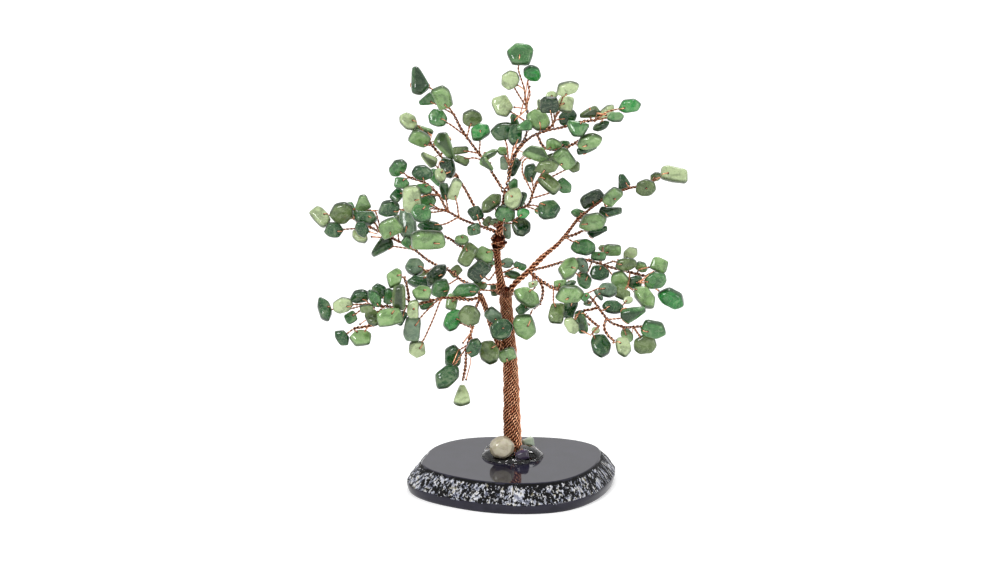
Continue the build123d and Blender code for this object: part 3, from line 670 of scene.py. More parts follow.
# %% The trunk's line
ROPE_STEP = 0.8 * MM
TRUNK_SLICE_REACH = 5.6 * MM
TRUNK_TOP_STEP = 0.7 * MM
TRUNK_TOP_SHARES = (0.92, 0.84, 0.72)
SHORT = 0.2 * MM


def walk_up(solid, step, reach):
    """The line of an upright solid, from its lowest face upwards."""
    lowest = min(vert.co.z for vert in solid.verts)
    start = [vert for vert in solid.verts if vert.co.z < lowest + SHORT]
    return walk(solid, start, step, reach)


def lengthened(line, amount):
    """A line made longer at its last end."""
    last = line[-1]
    place = last.place + (last.place - line[-2].place).normalized() * amount
    return line + [last._replace(place=place, centre=place)]


trunk_line = walk_up(solids_of("trunk")[0], ROPE_STEP, TRUNK_SLICE_REACH)
for share in TRUNK_TOP_SHARES:
    trunk_line = lengthened(trunk_line, TRUNK_TOP_STEP)
    trunk_line[-1] = trunk_line[-1]._replace(reach=trunk_line[-1].reach * share)
print("trunk, stops:", len(trunk_line))
print("trunk, half width at the foot:", round(trunk_line[0].reach / MM, 2), "mm")

# %% [markdown]
# The stops of a walk lie a little unevenly, because each slice has its own middle. Wire that
# winds needs them at an even spacing, so they are set out again along the line.

# %% Even stops
def between(start, end, share):
    """The stop that lies at a share of the way from one stop to another."""
    return Stop(
        start.place.lerp(end.place, share),
        start.centre.lerp(end.centre, share),
        start.reach + (end.reach - start.reach) * share,
        start.width + (end.width - start.width) * share,
    )


def even_stops(line, spacing):
    """The stops of a line at an even spacing, with their distances along it."""
    distances = [0.0]
    for start, end in zip(line, line[1:]):
        distances.append(distances[-1] + (end.place - start.place).length)
    count = max(2, round(distances[-1] / spacing))
    stops = []
    stretch = 0
    for number in range(count + 1):
        distance = distances[-1] * number / count
        while stretch < len(line) - 2 and distances[stretch + 1] < distance:
            stretch += 1
        length = max(distances[stretch + 1] - distances[stretch], WELD)
        share = (distance - distances[stretch]) / length
        stops.append((between(line[stretch], line[stretch + 1], share), distance))
    return stops


print("trunk, length of its line:", round(even_stops(trunk_line, ROPE_STEP)[-1][1] / MM, 1), "mm")

# %% [markdown]
# A rope is made by laying: strands wind around a line at a steady slant. The same small function
# lays a twisted pair around a twig, strands around a limb and, once more, the two wires around
# each strand. The slant is the tangent of the angle between a strand and the line. Twigs, limbs
# and trunk wind as in the photograph, up and to the right in front. The two wires of a strand
# wind the other way, which keeps the strands apart to the eye.

# %% Lay strands around a line
PAIR_SLANT = 0.40
PAIR_SPACING = 0.38 * MM


def laid(line, strands, radius_at, slant, spacing, phase=0.0):
    """Lines of strands that wind around a line, as far from it as radius_at says at a stop."""
    stops = even_stops(line, spacing)
    paths = [[] for strand in range(strands)]
    side = None
    angle = phase
    for number, (stop, distance) in enumerate(stops):
        ahead = stops[min(number + 1, len(stops) - 1)][0]
        behind = stops[max(number - 1, 0)][0]
        heading = (ahead.place - behind.place).normalized()
        side = side if side else heading.orthogonal()
        side = (side - heading * side.dot(heading)).normalized()
        across = heading.cross(side)
        radius = radius_at(stop)
        if number:
            angle += (distance - stops[number - 1][1]) * slant / radius
        for strand, path in enumerate(paths):
            turn = angle + tau * strand / strands
            offset = (side * cos(turn) + across * sin(turn)) * radius
            path.append(stop._replace(place=stop.place + offset))
    return paths


def twisted_pair(line, phase=0.0, slant=PAIR_SLANT):
    """The two wires of a twisted pair along a line."""
    return laid(line, 2, lambda stop: stop.width / 2, slant, PAIR_SPACING, phase)


print("one pair up the trunk, stops:", sum(len(path) for path in twisted_pair(trunk_line)))

# %% [markdown]
# The wire is bare copper, bright but a little tarnished, and fine scratches run everywhere. A
# metal gets its colour from what it mirrors, so the shader is fully metallic. Its tone is painted
# darker with the depth in the rope, which the mesh holds: painted shade in the gaps of the twist.

# %% Copper
TARNISH_SIZE = 1.6 * MM
SCRATCH_SIZE = 0.16 * MM
TARNISH_FROM = 0.38
TARNISH_TO = 0.62
SCRATCH_SHARES = ((0.35, 0.78), (0.62, 1.0))
GAP_SHADE_SHARES = ((0.34, 0.0), (0.95, 1.0))
DULL_COPPER = 0.40
BRIGHT_COPPER = 0.24


def copper_material(name, bright, tarnished, deep):
    """Bare copper: bright on the outside of a twist, with painted shade inside it, and drifts of
    tarnish.
    """
    material, tree, shader = new_material(name)
    place = node(tree, "ShaderNodeTexCoord").outputs["Object"]
    depth = node(tree, "ShaderNodeAttribute", attribute_name="depth").outputs["Fac"]
    drifts = clouds_at(tree, place, 1 / TARNISH_SIZE, detail=4.0)
    scratches = clouds_at(tree, place, 1 / SCRATCH_SIZE, detail=2.0)
    tone = ramp(tree, drifts, [(TARNISH_FROM, tarnished), (TARNISH_TO, bright)])
    shade = mix(tree, 1.0, tone, share_ramp(tree, scratches, SCRATCH_SHARES), "MULTIPLY")
    # Painted shade: the colour darkens with the depth in the rope.
    shade = mix(tree, share_ramp(tree, depth, GAP_SHADE_SHARES), shade, (*deep, 1))
    tree.links.new(shade, shader.inputs["Base Color"])
    tree.links.new(spread(tree, drifts, DULL_COPPER, BRIGHT_COPPER), shader.inputs["Roughness"])
    shader.inputs["Metallic"].default_value = 1.0
    return material


# The last colour is the painted shade deep in the twist.
copper = copper_material("copper", paint(252, 190, 150), paint(206, 134, 98), paint(66, 28, 18))
print("copper, nodes:", len(copper.node_tree.nodes))

# %% [markdown]
# A finished path becomes wire as the bevel of a curve: Blender sweeps a round section along it,
# as wide at every stop as the path says. A bmesh could sweep it too, but a curve does it in one
# step for hundreds of paths. How deep each point lies under the rope's outer reach, counted in
# wires, goes into the mesh for the material. The sweep makes one ring of points for each stop, in
# order, so the ring's number finds the stop. The open ends are closed after that.

# %% Draw wires
SECTION_DETAIL = 1


def note_depths(mesh, stops):
    """Keep how deep each point of a mesh of wires lies in its rope, counted in wires."""
    ring = len(mesh.vertices) // len(stops)
    depths = []
    for number, vert in enumerate(mesh.vertices):
        stop = stops[number // ring]
        depths.append((stop.reach - (vert.co - stop.centre).length) / WIRE)
    mesh.attributes.new("depth", "FLOAT", "POINT").data.foreach_set("value", depths)


def close_ends(mesh):
    """Close the open ends of the wires of a mesh."""
    shape = bmesh.new()
    shape.from_mesh(mesh)
    bmesh.ops.holes_fill(shape, edges=[edge for edge in shape.edges if edge.is_boundary], sides=0)
    shape.to_mesh(mesh)
    shape.free()


def wire_piece(name, paths):
    """Round copper wire along every path, as one object."""
    curve = bpy.data.curves.new(name, "CURVE")
    curve.dimensions = "3D"
    curve.bevel_depth = MM / 2
    curve.bevel_resolution = SECTION_DETAIL
    for path in paths:
        spline = curve.splines.new("POLY")
        spline.points.add(len(path) - 1)
        for point, stop in zip(spline.points, path):
            point.co = (*stop.place, 1)
            point.radius = stop.width / MM
    mesh = as_mesh(bpy.data.objects.new(name + "_paths", curve))
    note_depths(mesh, [stop for path in paths for stop in path])
    close_ends(mesh)
    shade_smooth(mesh)
    mesh.materials.clear()
    mesh.materials.append(copper)
    return bpy.data.objects.new(name, mesh)


# %% [markdown]
# A limb is a bundle of such pairs, wound around each other: two pairs in a thin limb, more in a
# stout one. How many lie side by side follows from the rope's width and the slant of its strands.
# Where the rope swells or narrows, its wires grow or shrink a little with it, so that the strands
# neither crowd nor part. A plain core closes a thick rope inside.

# %% Ropes of pairs
ROPE_SLANT = 0.8
ROPE_SPACING = 0.8 * MM
ROPE_ROOT = 1.0 * MM
STRAND_GAP_SHARE = 1.08
LEAST_GROWTH = 0.75
MOST_GROWTH = 1.3


def rope_wires(line, slant=ROPE_SLANT, root=ROPE_ROOT):
    """The paths of all wires of a rope along a line, with a core that closes it inside."""
    line = [stop._replace(reach=max(stop.reach, 2 * WIRE)) for stop in lengthened(line, root)]
    mean_ring = sum(stop.reach - WIRE for stop in line) / len(line)
    sizes = [(stop.reach - WIRE) / mean_ring for stop in line]
    growths = [min(max(size, LEAST_GROWTH), MOST_GROWTH) for size in sizes]
    line = [stop._replace(width=WIRE * growth) for stop, growth in zip(line, growths)]
    lay_share = 1 / sqrt(1 + slant * slant)
    count = max(2, int(tau * mean_ring * lay_share / (2 * WIRE * STRAND_GAP_SHARE)))
    wires = []
    strands = laid(line, count, lambda stop: stop.reach - WIRE, slant, ROPE_SPACING)
    for number, path in enumerate(strands):
        wires.extend(twisted_pair(path, number, -PAIR_SLANT))
    if count > 2:
        wires.append([stop._replace(width=2 * (stop.reach - WIRE)) for stop in line])
    return wires


# %% [markdown]
# The trunk's strands lie at 45 degrees, a slant of one, so that each one crosses the front of the
# trunk in a steep rising line.

# %% Trunk
TRUNK_SLANT = 1.0
TRUNK_ROOT = 0.4 * MM

trunk_wires = rope_wires(trunk_line, TRUNK_SLANT, TRUNK_ROOT)
print("trunk, wires:", len(trunk_wires))
settle(wire_piece("trunk_wires", trunk_wires), "copper_wire", "trunk")

# %% [markdown]
# Where the upper limbs part, wires are wrapped around the leader as a knot. It has an inner layer
# that winds one way at a flat slant and an outer layer that winds the other way. Each row below
# gives a layer's slant, its count of pairs, and how deep it lies, in wires.

# %% Knot
KNOT_STEP = 0.45 * MM
KNOT_SLICE_REACH = 4.0 * MM
KNOT_LAYERS = ((3.4, 2, 1.0), (-2.4, 2, 1.5))
KNOT_CORE_DEPTH = 2 * WIRE

knot_line = walk_up(solids_of("knot_wrap")[0], KNOT_STEP, KNOT_SLICE_REACH)
knot_wires = []
for slant, strands, sunk in KNOT_LAYERS:
    for path in laid(knot_line, strands, lambda stop: stop.reach - sunk * WIRE, slant, KNOT_STEP):
        knot_wires.extend(twisted_pair(path))
core_reaches = [max(stop.reach - KNOT_CORE_DEPTH, WIRE) for stop in knot_line]
knot_wires.append([stop._replace(width=2 * reach) for stop, reach in zip(knot_line, core_reaches)])
settle(wire_piece("knot_wires", knot_wires), "copper_wire", "knot_wrap")

# %% [markdown]
# The limbs and the leader above the trunk are the same kind of rope. A limb may point anywhere,
# so its walk starts from its tip, the end that lies farther from all other ropes, and its wires
# run on a little into the rope that carries it.

# %% Limbs and leader
LIMB_SLICE_REACH = 2.2 * MM
ROPE_NODES = ("limb_", "leader", "trunk", "knot")

rope_names = sorted(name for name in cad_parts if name.startswith(ROPE_NODES))
rope_solids = {name: solids_of(name) for name in rope_names}
rope_trees = {
    (name, number): BVHTree.FromBMesh(solid)
    for name, solids in rope_solids.items()
    for number, solid in enumerate(solids)
}
print("ropes:", len(rope_trees))


def distance_to(surface, place):
    """How far a place is from the nearest point of a search tree."""
    return surface.find_nearest(place)[3]


def tip_of(solid, others):
    """The end vertex of a rope that lies farther from the other ropes than its other end."""
    middle = middle_of(solid)
    first = max(solid.verts, key=lambda vert: (vert.co - middle).length)
    second = max(solid.verts, key=lambda vert: (vert.co - first.co).length)
    gaps = [min(distance_to(other, end.co) for other in others) for end in (first, second)]
    return first if gaps[0] > gaps[1] else second


for name in rope_names:
    if not name.startswith(("limb_", "leader")):
        continue
    wires = []
    for number, solid in enumerate(rope_solids[name]):
        tip = tip_of(solid, [other for key, other in rope_trees.items() if key != (name, number)])
        line = walk(solid, end_verts(solid, tip.co, LIMB_SLICE_REACH), ROPE_STEP, LIMB_SLICE_REACH)
        wires.extend(rope_wires(line, TRUNK_SLANT if name == "leader" else ROPE_SLANT))
    settle(wire_piece(name + "_wires", wires), "copper_wire", name)

# %% [markdown]
# Each stone has a hole drilled through its flat side. One wire of the pair crosses the front of
# the stone to the hole, goes through, and comes back as the other wire behind. The way over the
# stone is found by looking straight down at its finished surface from outside, place by place,
# so that the wire lies on the stone however it swells.

# %% Loops over a stone
LOOP_SHARES = (0.05, 0.3, 0.6, 0.85, 1.0)
LOOP_LIFT_SHARE = 0.7
LOOP_END_DEPTH = 2 * WIRE


def surfaces_of(mesh, count):
    """A search tree over the finished surface of each stone of a mesh."""
    groups = [[] for number in range(count)]
    for polygon, entry in zip(mesh.polygons, mesh.attributes["number"].data):
        groups[entry.value].append(tuple(polygon.vertices))
    places = [vert.co.copy() for vert in mesh.vertices]
    return [BVHTree.FromPolygons(places, group) for group in groups]


def mouth(surface, place, axis, length):
    """Where a line along the axis comes out of a stone, on the side that the axis looks to."""
    found = surface.ray_cast(place + axis * length, -axis, 2 * length)
    return found[0] if found[0] else place


def loop_path(surface, start, flat_start, hole, axis, length):
    """A single wire from the end of the twist, over the stone's face and into the hole."""
    places = [start]
    for share in LOOP_SHARES:
        above = mouth(surface, flat_start.lerp(hole, share), axis, length)
        places.append(above + axis * WIRE * LOOP_LIFT_SHARE)
    places.append(places[-1] - axis * LOOP_END_DEPTH)
    return [Stop(place, place, WIRE / 2, WIRE) for place in places]


# %% [markdown]
# Real holes could be cut with a boolean, but for so many stones that takes long and shows no
# more. The dark mouths are short plugs that carry the painted shade of the hole instead, sunk by
# half into the faces of the stone.

# %% Drilled holes
HOLE_SHARE = 0.5
HOLE_RADIUS = 0.4 * MM
HOLE_DEPTH = 0.24 * MM
HOLE_SEGMENTS = 10


def drill(mesh, holes):
    """Add the dark mouths of holes, painted shade, to a mesh of stones. A hole is a place and a way
    out.
    """
    mesh.materials.append(painted_hole_shade)
    shape = bmesh.new()
    shape.from_mesh(mesh)
    for place, way in holes:
        turn = way.to_track_quat("Z", "Y").to_matrix().to_4x4()
        plug = bmesh.ops.create_cone(shape, cap_ends=True, segments=HOLE_SEGMENTS,
                                     radius1=HOLE_RADIUS, radius2=HOLE_RADIUS, depth=HOLE_DEPTH,
                                     matrix=Matrix.Translation(place) @ turn)
        # The plug's faces take the hole's painted shade.
        for face in {face for vert in plug["verts"] for face in vert.link_faces}:
            face.material_index = len(mesh.materials) - 1
    shape.to_mesh(mesh)
    shape.free()
    mesh.attributes.remove(mesh.attributes["number"])


# %% [markdown]
# A twig is a pair of copper wires, bent double through the hole in its stone and then twisted,
# down to the limb that it leaves. Its walk starts at the stone. Some twigs bend too sharply for
# one walk, which then stops at the bend. A second walk, from the far end, covers the rest.

# %% Lines of a twig
TWIG_STEP = 0.5 * MM
TWIG_SLICE_REACH = 1.3 * MM
TWIG_ROOT = 0.7 * MM
TWIG_END_REACH = 1.1 * MM
TWIG_REACH = 1.35 * WIRE


def gap_to(line, place):
    """How far a place is from the nearest stop of a line."""
    return min((place - stop.place).length for stop in line)


def twig_walk(twig, place):
    """The line along a twig from its end near a place."""
    return walk(twig, end_verts(twig, place, TWIG_END_REACH), TWIG_STEP, TWIG_SLICE_REACH)


def twig_lines(twig, stone_end):
    """The lines that cover a twig: one from its stone and, if that breaks off, one to meet it."""
    line = twig_walk(twig, stone_end)
    far = max((vert.co for vert in twig.verts), key=lambda place: gap_to(line, place))
    lines = [lengthened(line, TWIG_ROOT)]
    if gap_to(line, far) > TWIG_SLICE_REACH:
        lines.append(twig_walk(twig, far))
    return [[stop._replace(reach=TWIG_REACH) for stop in line] for line in lines]


# %% [markdown]
# Now the sprays come together: for each one, its stones are tumbled, its twigs are twisted, and
# every stone gets its loop and the two mouths of its hole. Twigs and stones are paired by their
# numbers, which are the same in the CAD nodes. Where a twig was parted, the numbers after it are
# off, so in eight of the sprays some loops miss their stones. The next thing to improve here is
# to pair each twig with the stone that it touches.

# %% Sprays
for spray, grades in SPRAY_GRADES.items():
    name = "green_stones_" + spray
    stones = solids_of("stones_" + spray)
    twigs = solids_of("twigs_" + spray)
    print(spray, "stones:", len(stones), "parts of twigs:", len(twigs))
    stone_trees = [BVHTree.FromBMesh(stone) for stone in stones]
    middles = [middle_of(stone) for stone in stones]
    lengths = [length_of(stone, middle) for stone, middle in zip(stones, middles)]
    axes = [thin_axis_of(stone) for stone in stones]
    mesh = stone_mesh(name, stones, [GRADE_PAINTS[grade] for grade in grades], green_stone)
    surfaces = surfaces_of(mesh, len(grades))
    wires = []
    holes = []
    for twig, stone_tree, middle, axis, length, surface in zip(
            twigs, stone_trees, middles, axes, lengths, surfaces):
        touch = min(twig.verts, key=lambda vert: distance_to(stone_tree, vert.co))
        lines = twig_lines(twig, touch.co)
        for line in lines:
            wires.extend(twisted_pair(line))
        start = lines[0][0].place
        flat_start = start + axis * (middle - start).dot(axis)
        hole = middle.lerp(flat_start, HOLE_SHARE)
        for way in (axis, -axis):
            wires.append(loop_path(surface, start, flat_start, hole, way, length))
            holes.append((mouth(surface, hole, way, length), way))
    settle(wire_piece("twig_wires_" + spray, wires), "copper_wire", "twigs_" + spray)
    drill(mesh, holes)
    settle(bpy.data.objects.new(name, mesh), "green_stone", "stones_" + spray)

# %% [markdown]
# Three larger stones are glued in at the foot: a cream one with a soft shine, a pale green one and
# a purple one. They are tumbled rounder than the chips, and made of the same cloudy stone in
# other colours: a tint, and a deep and a milky colour that drift in it.

# %% Foot stones
FOOT_ROUNDING_SHARE = 0.13
FOOT_LEVELS = 2
CREAMS = (paint(200, 192, 168), paint(150, 136, 106), paint(236, 232, 216))
PALE_GREENS = (paint(196, 208, 186), paint(146, 164, 138), paint(236, 242, 230))
PURPLES = (paint(74, 62, 88), paint(38, 28, 50), paint(128, 116, 146))
FOOT_STONES = {
    "foot_stone_cream": ("cream_stone", CREAMS),
    "foot_stone_pale": ("pale_stone", PALE_GREENS),
    "foot_stone_purple": ("purple_stone", PURPLES),
}

for name, (slot, (tint, deep, milk)) in FOOT_STONES.items():
    mesh = stone_mesh(name + "_polished", solids_of(name), [tint], stone_material(slot, deep, milk),
                      FOOT_ROUNDING_SHARE, FOOT_LEVELS)
    mesh.attributes.remove(mesh.attributes["number"])
    settle(bpy.data.objects.new(name + "_polished", mesh), slot, name)

# %% [markdown]
# The trunk's wires fan out on the slab as toes. Each is a thin rope of its own, walked from the
# end that lies farthest out, so that its last end runs on into the trunk.

# %% Root toes
TOE_SLICE_REACH = 1.8 * MM
TOE_ROOT = 1.5 * MM

foot = trunk_line[0].place
toe_wires = []
for solid in solids_of("root_toes"):
    outer = max(solid.verts, key=lambda vert: (vert.co.xy - foot.xy).length)
    line = walk(solid, end_verts(solid, outer.co, TOE_SLICE_REACH), TWIG_STEP, TOE_SLICE_REACH)
    toe_wires.extend(rope_wires(line, root=TOE_ROOT))
settle(wire_piece("root_toe_wires", toe_wires), "copper_wire", "root_toes")

# %% [markdown]
# The slab is a slice of dark stone. Its face and its lower wall are ground and polished, and the
# slanted band between them keeps the rough rind of the stone. A bevel could make the band, but
# the rind needs many points to be rough with. So the slab is drawn from its top face: the outline
# is extruded down ring by ring, and each ring is scaled to its place. Each row of WALL_SHARES
# gives a ring of the wall: its share of the wall's height and of the undercut at its foot.

# %% Rings of the slab
WAIST = 3.3 * MM
RIND_RINGS = 24
RIND_BULGE = 0.35 * MM
WALL_SHARES = ((0.66, 0.06), (0.33, 0.35), (0.08, 0.75), (0.0, 1.1))
UNDERCUT = 0.8 * MM
EDGE_ROUND = 0.12 * MM


def slab_rings(face_height, rind_run):
    """The rings of the slab from its face down: the height of each and its inset."""
    rings = [(face_height - EDGE_ROUND / 2, rind_run - EDGE_ROUND)]
    for number in range(1, RIND_RINGS + 1):
        share = number / RIND_RINGS
        height = face_height + (WAIST - face_height) * share
        rings.append((height, rind_run * (1 - share) - RIND_BULGE * sin(pi * share)))
    for height_share, inset_share in WALL_SHARES:
        rings.append((WAIST * height_share, UNDERCUT * inset_share))
    return rings


slab_low, slab_high = (Vector(corner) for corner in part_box("base_slab"))
half_length = (slab_high.x - slab_low.x) / 2
half_width = (slab_high.y - slab_low.y) / 2
slab = solids_of("base_slab")[0]
top = max(slab.faces, key=lambda face: face.calc_center_median().z)
bmesh.ops.delete(slab, geom=[face for face in slab.faces if face is not top], context="FACES")
bmesh.ops.subdivide_edges(slab, edges=list(slab.edges), cuts=1)
rind_run = half_length - max(vert.co.x for vert in slab.verts)
print("the rind runs out by:", round(rind_run / MM, 2), "mm")

# %% [markdown]
# Every ring is smaller than the slab's full outline by its inset. A new ring starts as a copy of
# the one above it, and is scaled by the ratio of their sizes, which differs along and across.

# %% Slab
inset = rind_run
rim = [edge for edge in slab.edges if edge.is_boundary]
for height, new_inset in slab_rings(slab_high.z, rind_run):
    made = bmesh.ops.extrude_edge_only(slab, edges=rim)["geom"]
    ring = {item for item in made if isinstance(item, bmesh.types.BMVert)}
    rim = [edge for edge in slab.edges if edge.is_boundary and set(edge.verts) <= ring]
    growth_along = (half_length - new_inset) / (half_length - inset)
    growth_across = (half_width - new_inset) / (half_width - inset)
    bmesh.ops.scale(slab, vec=(growth_along, growth_across, 1), verts=list(ring))
    for vert in ring:
        vert.co.z = height
    inset = new_inset
bmesh.ops.holes_fill(slab, edges=rim, sides=0)
bmesh.ops.recalc_face_normals(slab, faces=slab.faces)
print("slab faces:", len(slab.faces))

# %% [markdown]
# The rind is granular, and at the right end of the slab its grains are drawn out into ridges that
# run down the slope. Each point of the mesh keeps where it lies for the grain, in millimetres, as
# if the band were unrolled. How deep a point lies inside the band, also in millimetres, tells how
# far the pits may move it, and later which faces get the rind's material.

# %% Rind
GRAIN_RADIUS = 34.0
RIDGE_START = 20.0
RIDGE_FULL = 30.0
RIDGE_STRETCH = 0.72
PIT_SIZES = ((1.5, 0.26 * MM), (0.55, 0.14 * MM))
PIT_FADE = 0.4
BAND_WAVE = 0.5
BAND_WAVE_SIZE = 5.0
BAND_TOP_GAP = 0.25
BAND_TOP_WAVE_SHARE = 0.25


def limited(value):
    """A value held between 0 and 1."""
    return min(max(value, 0), 1)


grains = []
bands = []
for vert in slab.verts:
    along = atan2(vert.co.y, vert.co.x)
    ridge_share = limited((vert.co.x / MM - RIDGE_START) / (RIDGE_FULL - RIDGE_START))
    down = vert.co.z / MM * (1 - RIDGE_STRETCH * ridge_share)
    grain = Vector((cos(along) * GRAIN_RADIUS, sin(along) * GRAIN_RADIUS, down))
    wave = BAND_WAVE * noise.noise(grain / BAND_WAVE_SIZE)
    above_waist = (vert.co.z - WAIST) / MM + wave
    below_face = (slab_high.z - vert.co.z) / MM - BAND_TOP_GAP + wave * BAND_TOP_WAVE_SHARE
    grains.append(grain)
    bands.append(min(above_waist, below_face))

slab.normal_update()
moves = []
for vert, grain, band in zip(slab.verts, grains, bands):
    depth = sum(noise.noise(grain / size) * amount for size, amount in PIT_SIZES)
    moves.append(vert.normal * depth * limited(band / PIT_FADE))
for vert, move in zip(slab.verts, moves):
    vert.co += move
print("points in the band:", sum(band > 0 for band in bands))

# %% [markdown]
# The face of the slab is nearly black and polished like a mirror, with faint mottling. Its
# roughness drifts a little, because a hand-polished face is never even.

# %% Polished stone
MOTTLE_SIZE = 4 * MM
HAZE_SIZE = 9 * MM
MOTTLE_PAINTS = ((0.3, paint(30, 29, 42)), (0.7, paint(44, 42, 58)))
SHINY_FACE = 0.03
HAZY_FACE = 0.08


def polished_material(name):
    """Nearly black stone, ground and polished, with faint mottling and a drifting haze."""
    material, tree, shader = new_material(name)
    place = node(tree, "ShaderNodeTexCoord").outputs["Object"]
    mottle = clouds_at(tree, place, 1 / MOTTLE_SIZE, detail=6.0)
    haze = clouds_at(tree, place, 1 / HAZE_SIZE, detail=3.0)
    tree.links.new(ramp(tree, mottle, MOTTLE_PAINTS), shader.inputs["Base Color"])
    tree.links.new(spread(tree, haze, SHINY_FACE, HAZY_FACE), shader.inputs["Roughness"])
    shader.inputs["IOR"].default_value = 1.35
    return material


dark_slab = polished_material("dark_slab")
print("polished stone, nodes:", len(dark_slab.node_tree.nodes))

# %% [markdown]
# The rind is black stone full of grains: white, blue-grey and a few olive ones. One noise says
# where a grain lies, a second one which kind it is, and a third, much larger one lets them gather
# in drifts. Towards the polished face they get fewer.

# %% Rind stone
GRAINS_PER_MM = 0.9
KINDS_PER_MM = 0.7
DRIFTS_PER_MM = 0.14
DRIFT_SHARE = 0.22
THIN_FROM = 8.7 * MM
THIN_TO = 9.5 * MM
THINNING = 0.16
FLECK_SHARES = ((0.625, 0.0), (0.655, 1.0))
FLECK_PAINTS = (
    (0.34, paint(104, 108, 126)),
    (0.45, paint(176, 180, 196)),
    (0.55, paint(232, 232, 236)),
    (0.68, paint(140, 132, 96)),
)
RIND_BLACK = paint(5, 5, 7)
RIND_ROUGH_HEIGHT = 0.6 * MM
RIND_ROUGH_STRENGTH = 0.9


def rind_material(name):
    """The rough rind: white, blue-grey and a few olive grains on black."""
    material, tree, shader = new_material(name)
    grain = node(tree, "ShaderNodeAttribute", attribute_name="rind").outputs["Vector"]
    flecks = clouds_at(tree, grain, GRAINS_PER_MM, detail=3.5, roughness=0.7, distortion=0.6)
    kinds = clouds_at(tree, grain, KINDS_PER_MM, detail=4.0)
    drifts = clouds_at(tree, grain, DRIFTS_PER_MM, detail=2.0)
    gathered = node(tree, "ShaderNodeMath", {0: drifts, 1: DRIFT_SHARE, 2: flecks},
                    operation="MULTIPLY_ADD").outputs[0]
    place = node(tree, "ShaderNodeTexCoord").outputs["Object"]
    height = node(tree, "ShaderNodeSeparateXYZ", {"Vector": place}).outputs["Z"]
    thinning = node(tree, "ShaderNodeMapRange", {"Value": height, "From Min": THIN_FROM,
                                                 "From Max": THIN_TO, "To Min": 0.0,
                                                 "To Max": THINNING}).outputs[0]
    thinned = node(tree, "ShaderNodeMath", {0: gathered, 1: thinning},
                   operation="SUBTRACT").outputs[0]
    shade = mix(tree, share_ramp(tree, thinned, FLECK_SHARES), (*RIND_BLACK, 1),
                ramp(tree, kinds, FLECK_PAINTS))
    tree.links.new(shade, shader.inputs["Base Color"])
    skin(tree, shader, gathered, RIND_ROUGH_STRENGTH, RIND_ROUGH_HEIGHT)
    shader.inputs["Roughness"].default_value = 0.5
    shader.inputs["Specular IOR Level"].default_value = 0.12
    return material


slab_rind = rind_material("slab_rind")
print("rind stone, nodes:", len(slab_rind.node_tree.nodes))

# %% [markdown]
# The slab stays one mesh with two materials. A face belongs to the rind when all its points lie
# inside the band. The faces between the rings have four corners and are shaded smooth. The two
# broad faces have many more, and stay flat, because smooth shading would bend their reflections.

# %% Dress the slab
slab_mesh = finished_mesh("polished_slab", slab)
grain_values = [value for grain in grains for value in grain]
slab_mesh.attributes.new("rind", "FLOAT_VECTOR", "POINT").data.foreach_set("vector", grain_values)
for polygon in slab_mesh.polygons:
    polygon.material_index = int(min(bands[index] for index in polygon.vertices) > 0)
    polygon.use_smooth = len(polygon.vertices) == 4
slab_mesh.materials.append(dark_slab)
slab_mesh.materials.append(slab_rind)
settle(bpy.data.objects.new("polished_slab", slab_mesh), "dark_slab", "base_slab")

# %% [markdown]
# The glue was poured around the foot and set clear, with a lumpy rounded edge. It begins as a
# sphere that is squeezed flat, cut off at the slab and made uneven by a slow noise. A fluid
# simulation could pour it, but would give no better puddle for a long wait.

# %% Glue puddle
GLUE_SEGMENTS = 72
GLUE_FULLNESS = 1.02
LUMP_SHARE = 0.09
LUMP_SIZE = 5.0 * MM
LUMP_MEAN = 0.5
LUMP_SINK = 2

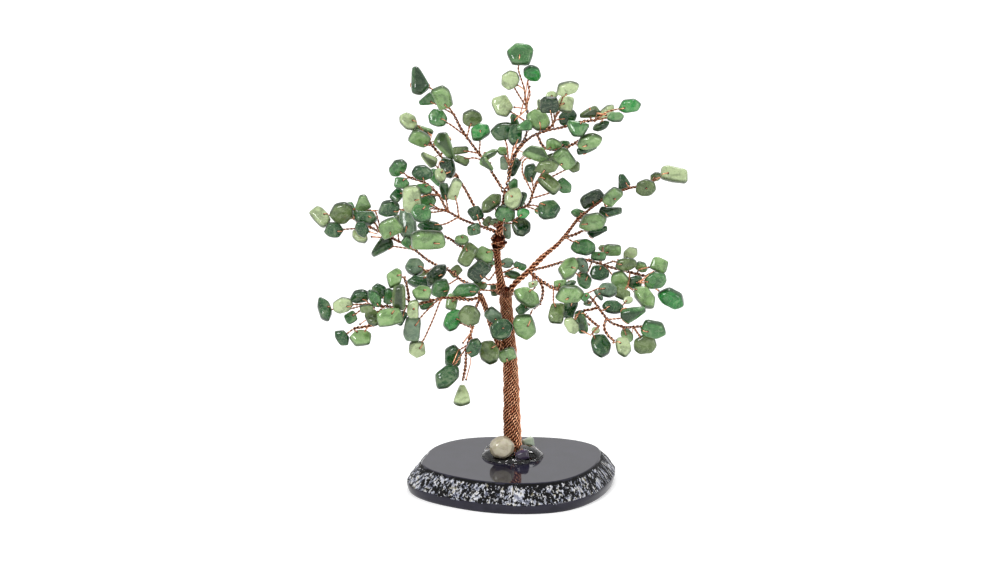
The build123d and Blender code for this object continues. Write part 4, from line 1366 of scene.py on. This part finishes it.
glue_low, glue_high = (Vector(corner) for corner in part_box("glue_puddle"))
glue_radius = (glue_high.x - glue_low.x) / 2
glue_flatness = GLUE_FULLNESS * (glue_high.z - glue_low.z) / glue_radius
glue_middle = Vector(((glue_low.x + glue_high.x) / 2, (glue_low.y + glue_high.y) / 2, glue_low.z))
glue = bmesh.new()
bmesh.ops.create_uvsphere(glue, u_segments=GLUE_SEGMENTS, v_segments=GLUE_SEGMENTS // 2,
                          radius=glue_radius)
bmesh.ops.scale(glue, vec=(1, 1, glue_flatness), verts=glue.verts)
bmesh.ops.bisect_plane(glue, geom=[*glue.verts, *glue.edges, *glue.faces], plane_co=(0, 0, 0),
                       plane_no=(0, 0, 1), clear_inner=True)
bmesh.ops.holes_fill(glue, edges=[edge for edge in glue.edges if edge.is_boundary], sides=0)
for vert in glue.verts:
    sunk = LUMP_SHARE * (LUMP_MEAN + noise.noise(vert.co / LUMP_SIZE))
    vert.co.xy *= 1 - sunk
    vert.co.z *= 1 - sunk * LUMP_SINK
bmesh.ops.translate(glue, vec=glue_middle, verts=glue.verts)
print("glue puddle:", round(2 * glue_radius / MM, 1), "mm across")

# %% [markdown]
# Set glue is clear, with a slightly rippled skin and a breath of yellow. It lets all light
# through, so what lies under it, the toes and the foot stones, shows bent and bright.

# %% Clear glue
GLUE_RIPPLE_SIZE = 3 * MM
GLUE_RIPPLE_HEIGHT = 0.4 * MM
GLUE_RIPPLE_STRENGTH = 0.3
GLUE_COLOURS = ((0.3, (0.93, 0.92, 0.90)), (0.7, (0.99, 0.99, 0.99)))


def glue_material(name):
    """Clear glue, with a slightly rippled skin and a breath of yellow."""
    material, tree, shader = new_material(name)
    place = node(tree, "ShaderNodeTexCoord").outputs["Object"]
    ripples = clouds_at(tree, place, 1 / GLUE_RIPPLE_SIZE, detail=2.0)
    tree.links.new(ramp(tree, ripples, GLUE_COLOURS), shader.inputs["Base Color"])
    skin(tree, shader, ripples, GLUE_RIPPLE_STRENGTH, GLUE_RIPPLE_HEIGHT)
    shader.inputs["Roughness"].default_value = 0.03
    shader.inputs["IOR"].default_value = 1.45
    shader.inputs["Transmission Weight"].default_value = 1.0
    return material


glue_mesh = finished_mesh("clear_glue", glue)
glue_mesh.materials.append(glue_material("clear_glue"))
settle(bpy.data.objects.new("clear_glue", glue_mesh), "clear_glue", "glue_puddle")
